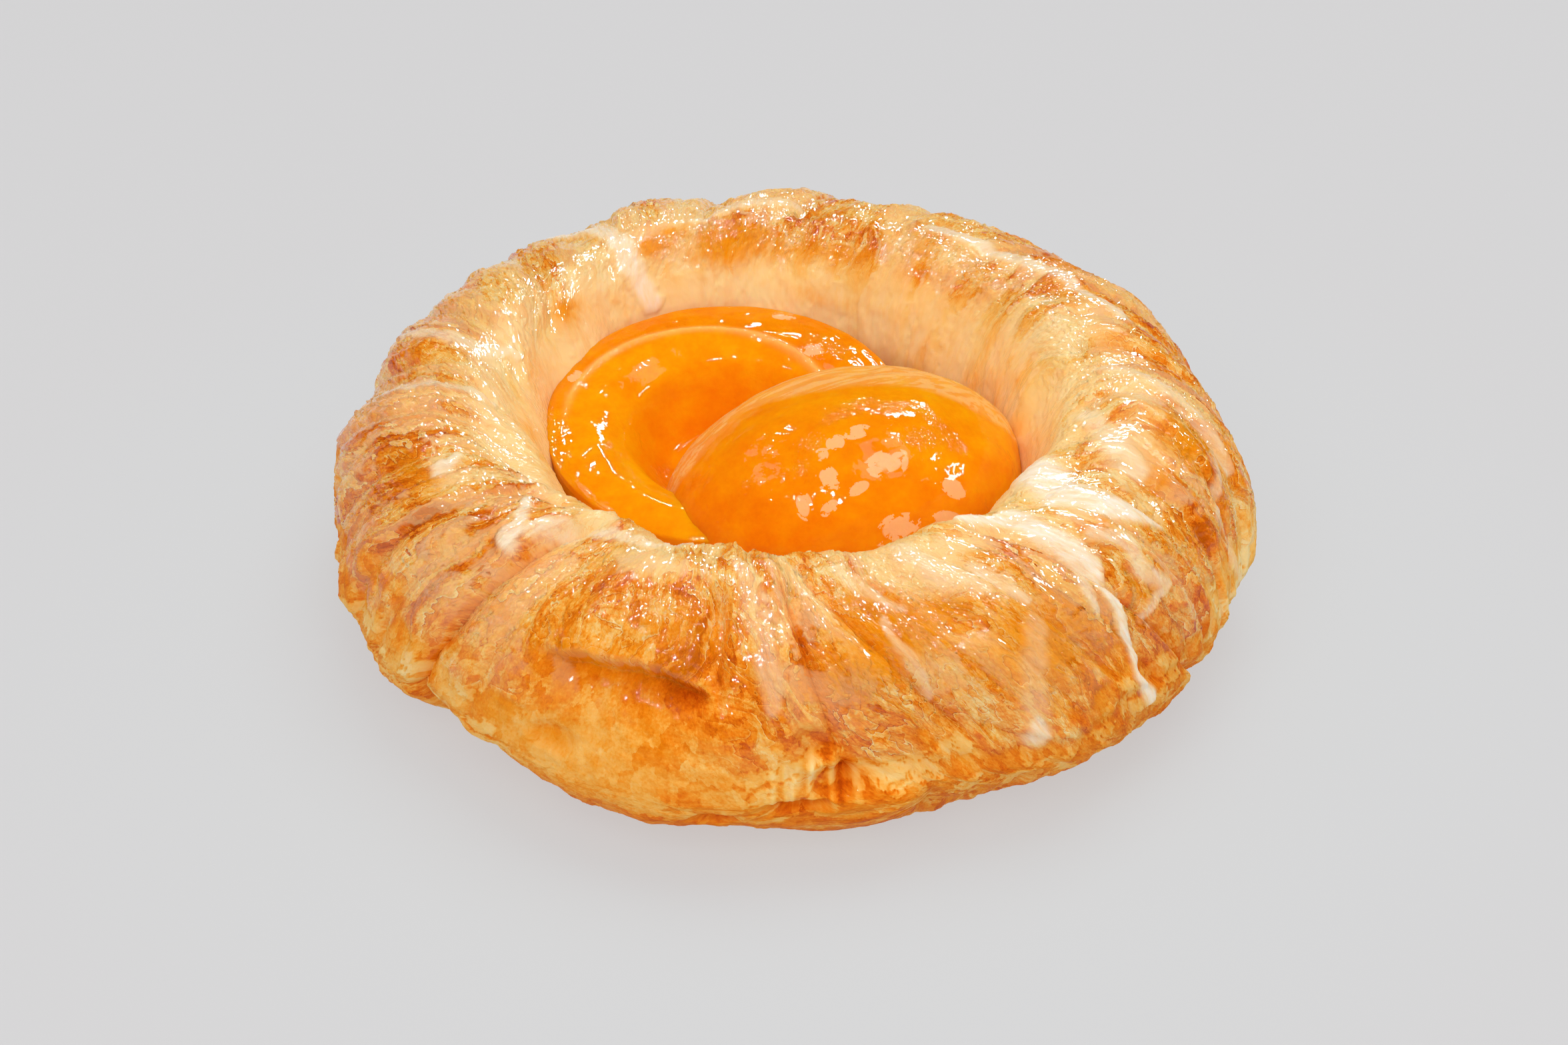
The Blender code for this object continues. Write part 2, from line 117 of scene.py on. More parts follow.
# Broad unevenness: fold angle, half-width, outer push, inner push, lift of the crest
SWELLS = (
    (41, 9, -0.001, 0, -0.0009), (60, 7, 0.0004, 0, 0.0002), (74, 9, -0.0009, 0, -0.0008),
    (92, 16, 0, 0, 0.0006), (126, 30, 0, 0.003, 0), (138, 10, 0.0004, 0, 0.0005),
    (162, 9, -0.0008, 0, -0.0004), (193, 9, 0.0011, 0, 0), (207, 10, -0.0014, 0, 0),
    (235, 8, -0.0008, 0, 0), (271, 16, 0.0004, 0, 0), (2, 14, 0.0002, 0, 0), (216, 13, 0, 0.0014, 0.0009),
)
WAVE_HEIGHT = 0.0004

# Free edges of the dough strip: thickness, crease depth, and the edge as fold and section angle
FREE_EDGES = (
    (0.0014, 0.0026, ((241, 37), (246, 39), (252, 42), (256, 40), (260.5, 34))),
    (0.0002, 0.0004, ((274, 30), (277, 20), (281, 11), (286, 4), (297, 8), (310, 4))),
)
# In degrees: rises of an edge's two ends, where its plateau fades and over what span, reach of the crease
EDGE_SIDE_RISES = (5.0, 2.5)
EDGE_FADE_START = 32.0
EDGE_FADE_SPAN = 26.0
CREASE_ABOVE = 4.0
CREASE_BELOW = 11.0
EDGE_WOBBLE = 2.4

# Apricot halves: middle of the cut face, half-lengths, heights above and below it, tilts
BACK_MIDDLE = (-0.0076, 0.0062, 0.0222)
BACK_HALF_LENGTHS = (0.0229, 0.0229)
BACK_HEIGHTS = (0.0018, 0.0160)
BACK_TILTS = (7.0, 0.0, 0.0)
FRONT_MIDDLE = (0.0070, -0.0020, 0.0170)
FRONT_HALF_LENGTHS = (0.0234, 0.0189)
FRONT_HEIGHTS = (0.0140, 0.0040)
FRONT_TILTS = (-3.0, -5.6, 27.0)
# Room that the dough leaves for each half: middle, half-lengths, tilts, depths above and below the cut face
BACK_ROOM = (BACK_MIDDLE, BACK_HALF_LENGTHS, BACK_TILTS, (0.0060, 0.0156))
FRONT_ROOM = (FRONT_MIDDLE, FRONT_HALF_LENGTHS, FRONT_TILTS, (0.0138, 0.0060))
# Below zero, so that the dough meets the fruit
DOUGH_GAP = -0.0007
CLEARING_ROUNDS = 3
# Stone hollow: middle, then two steps down, each with its depth and the distances where it starts and ends
HOLLOW_MIDDLE = (0.0006, -0.0012)
SLOPE_STEP = (0.0026, 0.0180, 0.0110)
HOLLOW_STEP = (0.0064, 0.0140, 0.0078)
# Ridge on the rim of the back half, as shares of its half-lengths: middle and radius
RIDGE_MIDDLE = (-0.13, -0.02)
RIDGE_RADIUS = 0.755


def signed_degrees(difference):
    """An angle difference in degrees, brought into -180 to 180."""
    return (difference + 180.0) % 360.0 - 180.0


def smooth_step(value):
    """0 below 0, 1 above 1, and 3v^2 - 2v^3 between."""
    inside = np.clip(value, 0.0, 1.0)
    return inside * inside * (3.0 - 2.0 * inside)


# Large primes that scatter whole numbers into random ones
PRIMES = (73856093, 19349663, 83492791)
SEED_PRIME = 668265263
MIX_PRIMES = (1274126177, 374761393)


def mixed_up(number, shift, prime):
    """A whole number crossed with its own high bits, times a prime, kept below 2^31."""
    return (number ^ (number >> shift)) * prime & 0x7FFFFFFF


def as_share(number):
    """The middle 16 bits of a whole number as a share from 0 to 1."""
    return (number >> 8 & 0xFFFF) / 65535.0


def lattice_noise(x, y, z, seed):
    """Random numbers from 0 to 1 at the corners of a unit lattice, blended smoothly between them."""
    cells, parts = [], []
    for axis in (x, y, z):
        cell = np.floor(axis).astype(np.int64)
        part = axis - cell
        cells.append(cell)
        parts.append(part * part * (3.0 - 2.0 * part))
    total = np.zeros(np.broadcast(x, y, z).shape)
    for corner in range(8):
        steps = (corner & 1, corner >> 1 & 1, corner >> 2 & 1)
        mixed = np.int64(seed * SEED_PRIME)
        weight = 1.0
        for cell, part, step, prime in zip(cells, parts, steps, PRIMES):
            mixed = mixed ^ ((cell + step) * prime)
            weight = weight * (part if step else 1.0 - part)
        mixed = mixed_up(mixed_up(mixed, 13, MIX_PRIMES[0]), 15, MIX_PRIMES[1])
        total += weight * as_share(mixed)
    return total


# Not a whole number, so that the layers' lattices don't meet
OCTAVE_STEP = 2.03


def layered_noise(x, y, z, seed, octaves=3, fall=0.5):
    """Lattice noise added to itself at about twice the frequency and a falling share, scaled to 0 to 1."""
    total, share, whole = 0.0, 1.0, 0.0
    for octave in range(octaves):
        scale = OCTAVE_STEP**octave
        total = total + share * lattice_noise(x * scale, y * scale, z * scale, seed + octave)
        whole += share
        share *= fall
    return total / whole


def level_value(level, seed):
    """A random number from 0 to 1 for each whole level."""
    return as_share(mixed_up((level.astype(np.int64) + seed) * MIX_PRIMES[1], 13, MIX_PRIMES[0]))


# A distance between cells that nothing reaches
FAR = 9.0


def cells(x, y, seed):
    """Cells round one random point per unit square: second less first distance, and a random value."""
    column, row = np.floor(x), np.floor(y)
    first = np.full(np.shape(x), FAR)
    second = first.copy()
    value = np.zeros_like(first)
    for step_x in (-1, 0, 1):
        for step_y in (-1, 0, 1):
            place = (column + step_x).astype(np.int64) * PRIMES[0]
            place = place ^ (row + step_y).astype(np.int64) * PRIMES[1]
            point_x = column + step_x + level_value(place, seed)
            point_y = row + step_y + level_value(place, seed + 7)
            away = np.hypot(x - point_x, y - point_y)
            nearer = away < first
            second = np.where(nearer, first, np.minimum(second, away))
            value = np.where(nearer, level_value(place, seed + 13), value)
            first = np.where(nearer, away, first)
    return second - first, value


def twist_shifts(angle, section, table):
    """The table's outer and inner shifts, times shares that grow away from the crest on either side."""
    crests, outward, inward = np.array(table).T
    outward_share = np.clip((CREST_SECTION - section) / OUTWARD_SPAN, 0.0, MOST_SHIFTS[0])
    inward_share = np.clip((section - CREST_SECTION) / INWARD_SPAN, 0.0, MOST_SHIFTS[1])
    angle = angle % 360.0
    return np.interp(angle, crests, outward) * outward_share, np.interp(angle, crests, inward) * inward_share


def ring_angle(fold, section):
    """Fold angle plus the twist's shifts."""
    outward, inward = twist_shifts(fold, section, TWIST)
    return fold + outward + inward


def flow_angle(turn, section):
    """Ring angle less a slowly changing twist, so that the fine layers follow the folds unstretched."""
    outward, inward = twist_shifts(turn, section, FLOW)
    return turn - outward - inward


def smooth_ring(section):
    """Radius, height and outward normal of quarters of four superellipses round the section."""
    cosine, sine = np.cos(np.radians(section)), np.sin(np.radians(section))
    width = np.where(cosine >= 0.0, OUTER_HALF_WIDTH, INNER_HALF_WIDTH)
    height = np.where(sine >= 0.0, CREST_RISE, WIDEST_HEIGHT)
    power = np.where((sine < 0.0) & (cosine > 0.0), TUCKED_ROUNDNESS, UPPER_ROUNDNESS)
    reach = (np.abs(cosine) ** power + np.abs(sine) ** power) ** (-1.0 / power)
    across, up = cosine / width, sine / height
    length = np.hypot(across, up)
    radius = RING_RADIUS + width * cosine * reach
    return radius, WIDEST_HEIGHT + height * sine * reach, across / length, up / length


def fold_relief(fold, section, radius):
    """Grooves, each falling off as exp(-distance), quickly on one side and slowly on the other, with painted
    shade along their bottoms.
    """
    relief = np.zeros_like(radius)
    crease = np.zeros_like(radius)
    for middle, depth, steep, lowest, highest in FOLDS:
        distance = steep * np.radians(signed_degrees(fold - middle)) * radius
        groove = np.where(distance < 0.0, np.exp(distance / STEEP_REACH), np.exp(-distance / GENTLE_REACH))
        fade = smooth_step((section - lowest) / FOLD_FADE) * smooth_step((highest - section) / FOLD_FADE)
        relief -= depth * groove * fade
        # The crease value is painted shade that darkens the bottom of each groove
        crease = np.maximum(crease, fade * np.exp(-np.abs(distance) / CREASE_SHADE_REACH) * depth / FULL_CREASE_SHADE)
    return relief, crease


def edge_relief(fold, section):
    """Each free edge: a plateau above its edge line, an exp(-distance) crease below it, and painted shade
    just under the edge.
    """
    relief = np.zeros_like(section)
    edge_shade = np.zeros_like(section)
    for thickness, crease_depth, edge in FREE_EDGES:
        angles, sections = np.array(edge).T
        first_side = smooth_step((fold - angles[0]) / EDGE_SIDE_RISES[0])
        last_side = smooth_step((angles[-1] - fold) / EDGE_SIDE_RISES[1])
        wobble = EDGE_WOBBLE * (lattice_noise(fold * 0.9, section * 0.02, 0.0 * fold, 31) - 0.5)
        above_edge = section - np.interp(fold, angles, sections) + wobble
        over_edge = smooth_step(above_edge / CREASE_ABOVE)
        rise = over_edge * (1.0 - smooth_step((above_edge - EDGE_FADE_START) / EDGE_FADE_SPAN))
        crease = np.where(above_edge > 0.0, 1.0 - over_edge, np.exp(above_edge / CREASE_BELOW))
        sides = first_side * last_side
        relief += sides * (thickness * rise - crease_depth * crease)
        # Painted shade just below the edge line
        edge_shade = np.maximum(edge_shade, sides * np.exp(-((above_edge + 1.0) / 2.2) ** 2))
    return relief, edge_shade


def crag_relief(fold, section, radius):
    """Rounded dents, exp(-r^4) in their own widths, with painted shade that darkens each dent."""
    relief = np.zeros_like(radius)
    pit_shade = np.zeros_like(radius)
    for middle, height, half_width, half_height, depth in CRAGS:
        across = np.radians(signed_degrees(fold - middle)) * radius / half_width
        dent = np.exp(-((across**2 + ((section - height) / half_height) ** 2) ** 2))
        relief -= depth * dent
        pit_shade = np.maximum(pit_shade, dent)
    return relief, pit_shade


def swells(fold, section):
    """Sums of exp(-(angle / half-width)^2) pushes and a slow wave of two sines."""
    turn, lean = np.radians(fold), np.radians(section)
    outer_share = np.maximum(np.cos(lean), 0.0)
    inner_share = np.maximum(-np.cos(lean), 0.0)
    outward, lift = np.zeros_like(section), np.zeros_like(section)
    for middle, half_width, outer_push, inner_push, rise in SWELLS:
        share = np.exp(-((signed_degrees(fold - middle) / half_width) ** 2))
        outward += share * (outer_push * outer_share + inner_push * inner_share)
        lift += rise * share
    wave = np.sin(9.0 * turn + 2.0 * lean) + np.sin(14.0 * turn - 3.0 * lean + 1.3)
    return outward, lift, WAVE_HEIGHT * wave


def tilted(points, tilts, inverse=False):
    """Points turned about Z, then tilted about X and Y, or all of that undone."""
    about_x, about_y, about_z = np.radians(tilts)
    turn = np.array(Euler((about_x, about_y, 0.0)).to_matrix() @ Euler((0.0, 0.0, about_z)).to_matrix())
    return points @ (turn if inverse else turn.T)


def pushed_clear(points, middle, half_lengths, tilts, heights):
    """Points inside a pair of half-ellipsoids grown by the gap, moved straight out on to their surface."""
    offset = tilted(points - np.array(middle), tilts, inverse=True)
    height = np.where(offset[..., 2] >= 0.0, heights[0], heights[1]) + DOUGH_GAP
    wide, deep = (length + DOUGH_GAP for length in half_lengths)
    across = np.hypot(offset[..., 0] / wide, offset[..., 1] / deep)
    share = np.hypot(across, offset[..., 2] / height)
    offset = offset * np.where(share < 1.0, 1.0 / np.maximum(share, 0.05), 1.0)[..., None]
    return tilted(offset, tilts) + np.array(middle)


# Icing over the dough, and thin white streaks that are painted highlights on the glaze:
# thickness in mm, whiteness, then ring angle, section angle and half-width in mm at each point of its way
ICING_AND_HIGHLIGHT_STREAKS = (
    (0.6, 0.84, ((304, 106, 1), (312, 98, 1.8), (314, 77, 2.2), (316, 60, 2.1), (316, 48, 1.4),
        (316, 37, 1), (316, 26, 0.9), (316, 14, 0.9), (318, 2, 1.2))),
    (0.5, 0.86, ((333, 128, 2.6), (327, 112, 4.4), (324, 92, 4.2), (325, 77, 3), (329, 60, 1.3),
        (331, 52, 0.6))),
    (0.35, 0.55, ((314, 62, 1.2), (313, 50, 1), (313, 42, 0.6))),
    (0.3, 0.52, ((319, 68, 0.9), (322, 57, 1.2), (322, 46, 1.2), (324, 36, 0.8), (320, 28, 0.6))),
    # A painted highlight on the right lobe's crest, as a thin white streak
    (0.25, 0.5, ((349, 108, 1.6), (346, 98, 2.2), (340, 84, 2.8), (338, 70, 1.2))),
    (0.25, 0.4, ((356, 62, 0.9), (355, 44, 1), (348, 40, 0.9), (342, 34, 0.9), (344, 16, 0.9),
        (347, -14, 0.7))),
    # This row and the next three: painted highlight bands and lines on the front-right lobe, as thin white
    # streaks
    (0.2, 0.38, ((278, 92, 1.4), (282, 80, 1.3), (286, 70, 0.8))),
    (0.25, 0.42, ((290, 104, 1.6), (291, 95, 2.4), (294, 77, 2.6), (298, 68, 1.5))),
    (0.25, 0.5, ((299, 78, 1.3), (302, 65, 1.1), (304, 57, 0.5))),
    (0.2, 0.34, ((283, 66, 0.6), (286, 47, 1), (288, 32, 0.6))),
    (0.3, 0.28, ((303, 48, 1.5), (301, 37, 1.9), (300, 25, 1.9), (300, 12, 2))),
    (0.5, 0.62, ((300, 15, 1.5), (300, 11, 1.9))),
    (0.22, 0.34, ((262, 92, 1.2), (265, 74, 1.9), (267, 58, 1.7), (268, 46, 2.1), (268.5, 34, 1))),
    (0.4, 0.55, ((252, 104, 1.2), (244, 100, 1.8), (235, 95, 1.6), (229, 84, 1.2), (226, 72, 0.9))),
    (0.55, 0.75, ((222, 86, 0.9), (225.5, 77, 1.1), (226, 68, 1.5))),
    (0.5, 0.7, ((203, 79, 1.2), (203.5, 70, 1.6))),
    (0.5, 0.75, ((122, 138, 1.6), (124, 118, 2), (124, 98, 1.8), (124.5, 78, 1.6), (129, 58, 1.2))),
    (0.45, 0.6, ((62, 90, 1.4), (52, 87, 1.8), (40, 84, 1.6), (28, 80, 1.2), (20, 70, 0.9))),
    (0.4, 0.5, ((108, 96, 1), (100, 90, 1.4), (88, 84, 1))),
    (0.35, 0.5, ((165, 118, 1), (168, 96, 1.6), (166, 74, 1.4), (162, 52, 1))),
    (0.35, 0.5, ((184, 112, 1.1), (183, 90, 1.6), (179, 68, 1.4), (174, 44, 1))),
    (0.35, 0.45, ((6, 100, 1.2), (2, 80, 1.5), (357, 56, 1.2), (353, 34, 0.9))),
)

# How far from a stretch of icing or painted highlight streak it is worked out: degrees round the ring, and
# round the section
ICING_NEAR = (24.0, 40.0)

# Browning of the dough: ring angle, section angle, half-width and half-height in degrees, amount
BROWNING = (
    (209, 54, 6, 8, 0.3), (222, 68, 7, 8, 0.26), (199, 38, 7, 12, 0.14), (192, 62, 10, 12, 0.04),
    (176, 55, 9, 16, 0.1), (243, 63, 8, 9, 0.1), (247, 72, 8, 8, 0.1), (255, 52, 5, 12, 0.12),
    (260, 42, 3, 9, 0.2), (249, 12, 16, 16, -0.16), (232, 4, 12, 12, -0.14), (216, 4, 10, 14, -0.26),
    (272, 62, 1.3, 20, 0.26), (277, 46, 1.3, 14, 0.24), (283, 72, 5, 9, 0.18), (286, 60, 6, 10, 0.2),
    (293, 64, 5, 8, 0.16), (266, 18, 6, 12, -0.15), (285, 6, 6, 14, -0.16), (303, 42, 8, 10, 0.1),
    (306, 60, 6, 8, 0.08), (318, 40, 5, 12, -0.1), (330, 30, 8, 20, 0.04), (346, 34, 8, 18, 0.1),
    (8, 58, 12, 16, 0.14), (350, 4, 14, 16, -0.16), (20, 10, 20, 20, -0.06), (40, 66, 18, 16, 0.12),
    (60, 124, 7, 6, 0.26), (52, 122, 6, 5, 0.16), (76, 104, 14, 10, 0.12), (97, 104, 10, 10, 0.16),
    (115, 104, 7, 8, 0.2), (144, 124, 5, 7, 0.16), (140, 84, 9, 10, 0.16), (160, 70, 9, 12, 0.1),
    (150, 158, 20, 20, -0.14), (90, 150, 50, 22, -0.14), (262, -30, 40, 12, 0.1), (270, 34, 46, 34, 0.09),
    (247, 40, 9, 5, 0.1), (208, 17, 14, 12, 0.08), (180, 60, 9, 9, 0.05), (170, 82, 10, 9, 0.04),
    (316, 92, 9, 10, -0.14), (334, 13, 10, 12, -0.12), (346, 0, 12, 22, -0.22), (268, 50, 8, 10, 0.12),
    (60, 119, 7, 5, 0.22), (49, 116, 6, 5, 0.22), (83, 119, 4, 4, 0.14), (56, 92, 8, 7, 0.14),
    (288, 34, 5, 8, 0.12), (274, 54, 1.5, 9, 0.1), (266, 40, 1.2, 14, 0.16), (200, 62, 5, 6, 0.12),
    (347, 57, 5, 8, 0.12), (20, 78, 10, 8, 0.12), (148, 81, 6, 8, -0.14), (132, 112, 8, 12, -0.16),
    (174, 71, 5, 8, -0.12), (112, 77, 9, 9, -0.1), (359, 84, 5, 8, -0.14), (338, 80, 4, 7, -0.14),
    (186, 108, 16, 14, -0.1), (162, 106, 10, 12, -0.08), (90, 100, 40, 18, 0.07), (100, 118, 12, 10, 0.1),
    (55, 140, 26, 24, 0.13), (110, 132, 10, 12, -0.05),
)
# Browning by section angle, then amount: paler towards the well, partly the less-baked inner wall and partly
# painted light on the shaded well wall
BROWNING_AND_WELL_LIGHT_BY_SECTION = (
    (-90, 0.62), (-55, 0.6), (-30, 0.56), (-8, 0.48), (14, 0.48), (32, 0.5), (52, 0.52), (74, 0.46),
    (96, 0.38), (116, 0.25), (136, 0.13), (178, 0.06),
)

# Small holes between the torn layers, with painted shade in them: ring angle, section angle, half-width and
# half-height in degrees, depth
HOLES = (
    (274, -5, 1.2, 3, 1), (276.3, 4, 0.6, 5, 0.7), (272.6, 16, 0.8, 4, 0.5), (270, 6, 0.4, 6, 0.5),
)

# Where the dough is clear golden: ring angle, section angle, half-width and half-height in degrees, amount
GOLDEN = (
    (282, 75, 5, 8, 1), (284, 63, 5, 8, 1), (288, 55, 6, 8, 0.8), (292, 67, 6, 8, 0.8), (303, 42, 8, 10, 1),
    (280, 48, 6, 10, 0.9), (268, 46, 3, 8, 0.5), (247, 42, 10, 7, 0.8), (118, 108, 6, 6, 1),
    (112, 100, 6, 6, 0.8), (104, 122, 8, 7, 0.8), (144, 124, 5, 7, 1), (88, 122, 8, 6, 0.6),
    (306, 28, 9, 11, 0.5), (240, 11, 14, 12, 0.5), (349, 68, 8, 8, 0.6), (345, 34, 8, 10, 0.5),
    (208, 18, 10, 10, 0.3), (256, 60, 6, 10, 0.5), (60, 100, 12, 7, 0.6), (98, 112, 5, 6, 0.8),
    (84, 140, 7, 5, 0.5), (28, 89, 6, 7, 0.7), (15, 84, 5, 7, 0.6), (338, 62, 3, 7, 0.9),
    (348, 56, 4, 8, 0.8), (354, 44, 4, 8, 0.7), (322, 40, 4, 8, 0.6), (321, 66, 3, 6, 0.7),
    (306, 56, 5, 8, 0.5), (300, 74, 4, 7, 0.6), (102, 114, 9, 8, 1), (124, 112, 5, 6, 0.8),
    (76, 118, 6, 5, 0.7), (60, 112, 6, 5, 0.7), (198, 60, 4, 5, 0.7), (205, 66, 4, 6, 0.7),
    (182, 50, 5, 6, 0.5), (167, 62, 5, 6, 0.5), (172, 37, 6, 8, 0.4), (198, 30, 7, 9, 0.5),
    (156, 60, 4, 6, 0.5), (128, 70, 5, 8, 0.5), (40, 70, 8, 8, 0.6),
)

# Where the glaze lies thick and smooth, and is painted pale cream, partly its own colour and partly painted
# sheen: ring angle, section angle, half-width and half-height in degrees
POOLS = (
    (340, 76, 7, 13), (355, 78, 6, 10), (322, 78, 6, 12), (136, 122, 10, 12), (124, 104, 8, 12),
    (112, 96, 8, 8), (52, 88, 10, 7), (204, 72, 4, 5), (250, 82, 6, 5), (300, 92, 10, 9), (20, 84, 8, 9),
    (188, 108, 14, 15), (164, 106, 10, 14), (212, 112, 9, 10), (228, 104, 7, 8),
)


def spots(turn, section, table):
    """Sum of amount * exp(-r^2), r measured in each spot's own half-widths."""
    total = np.zeros_like(section)
    for angle, level, half_width, half_height, amount in table:
        away = (signed_degrees(turn - angle) / half_width) ** 2 + ((section - level) / half_height) ** 2
        total += amount * np.exp(-away)
    return total


def icing_and_highlight_cover(turn, section, radius, sway, ragged):
    """Thickness in mm and whiteness of the icing and of the painted highlight streaks: sqrt(1 - (distance /
    width)^2.4) over each way.
    """
    thick = np.zeros_like(section)
    white = np.zeros_like(section)
    for thickness, whiteness, way in ICING_AND_HIGHLIGHT_STREAKS:
        stops = np.array(way, float)
        for (a0, s0, w0), (a1, s1, w1) in zip(stops[:-1], stops[1:]):
            near = np.abs(signed_degrees(turn - a0)) < ICING_NEAR[0]
            near &= np.abs(section - 0.5 * (s0 + s1)) < ICING_NEAR[1]
            reach = np.radians(1.0) * radius[near] / MM
            x = signed_degrees(turn[near] - a0) * reach + sway[near]
            y = (section[near] - s0) * MM_PER_SECTION_DEGREE
            run_x, run_y = signed_degrees(a1 - a0) * reach, (s1 - s0) * MM_PER_SECTION_DEGREE
            share = np.clip((x * run_x + y * run_y) / (run_x**2 + run_y**2), 0.0, 1.0)
            distance = np.hypot(x - share * run_x, y - share * run_y)
            across = distance / ((w0 + share * (w1 - w0)) * (1.0 + ragged[near]))
            dome = np.sqrt(np.clip(1.0 - across**2.4, 0.0, 1.0))
            thick[near] = np.maximum(thick[near], thickness * dome)
            white[near] = np.maximum(white[near], whiteness * smooth_step((1.25 - across) / 0.95))
    return thick, white


# Noises of the fine layers (streaks, threads, mottle, jagged, broad, grain, the side's edge, sugar, skin):
# features per mm across and along the folds, seed, octaves, fall
NOISES = (
    (0.42, 0.07, 21, 3, 0.55), (1.1, 0.16, 41, 2, 0.6), (0.3, 0.3, 51, 3, 0.55), (0.9, 0.9, 61, 3, 0.6),
    (0.26, 0.055, 23, 2, 0.5), (2.2, 2.2, 81, 2, 0.6), (0.2, 0.25, 63, 3, 0.6), (0.16, 0.16, 85, 2, 0.5),
    (0.2, 0.06, 91, 3, 0.6),
)
# Zones: ring angle, section angle, half-width and half-height in degrees
FLAP_TOP = (249, 56, 13, 22)
TORN_ZONE = (273, 3, 6, 14)
# Lower face of the flap: middle and half-width round the ring, top of it, span of its fade
FLAP_FACE = (250, 15, 44, 8)
# Where these end or start round the section, and the span of their fade
SIDE_FADE = (26, 14)
WELL_FADE = (104, 34)
LIP_FADE = (88, 20)
SUGAR_FADE = (22, 20)
FILM_FADE = (18, 30)
LOW_FADE = (-30, 30)
# Widths of the steps from one sheet or flake to the next, as shares of it
SHEET_STEP = 0.12
FLAKE_STEP = 0.10
# Heights in mm
SHEET_HEIGHT = 0.42
STREAK_HEIGHT = 1.5
THREAD_HEIGHT = 0.35
FLAKE_HEIGHT = 0.22
MOTTLE_HEIGHT = 0.7
FILM_HEIGHT = 0.10
FIBRE_HEIGHT = 0.9
HOLE_DEPTH = 1.1


def zone(turn, section, place):
    """exp(-r^4), r measured in the zone's own half-widths."""
    angle, level, half_width, half_height = place
    across = signed_degrees(turn - angle) / half_width
    return np.exp(-((across**2 + ((section - level) / half_height) ** 2) ** 2))


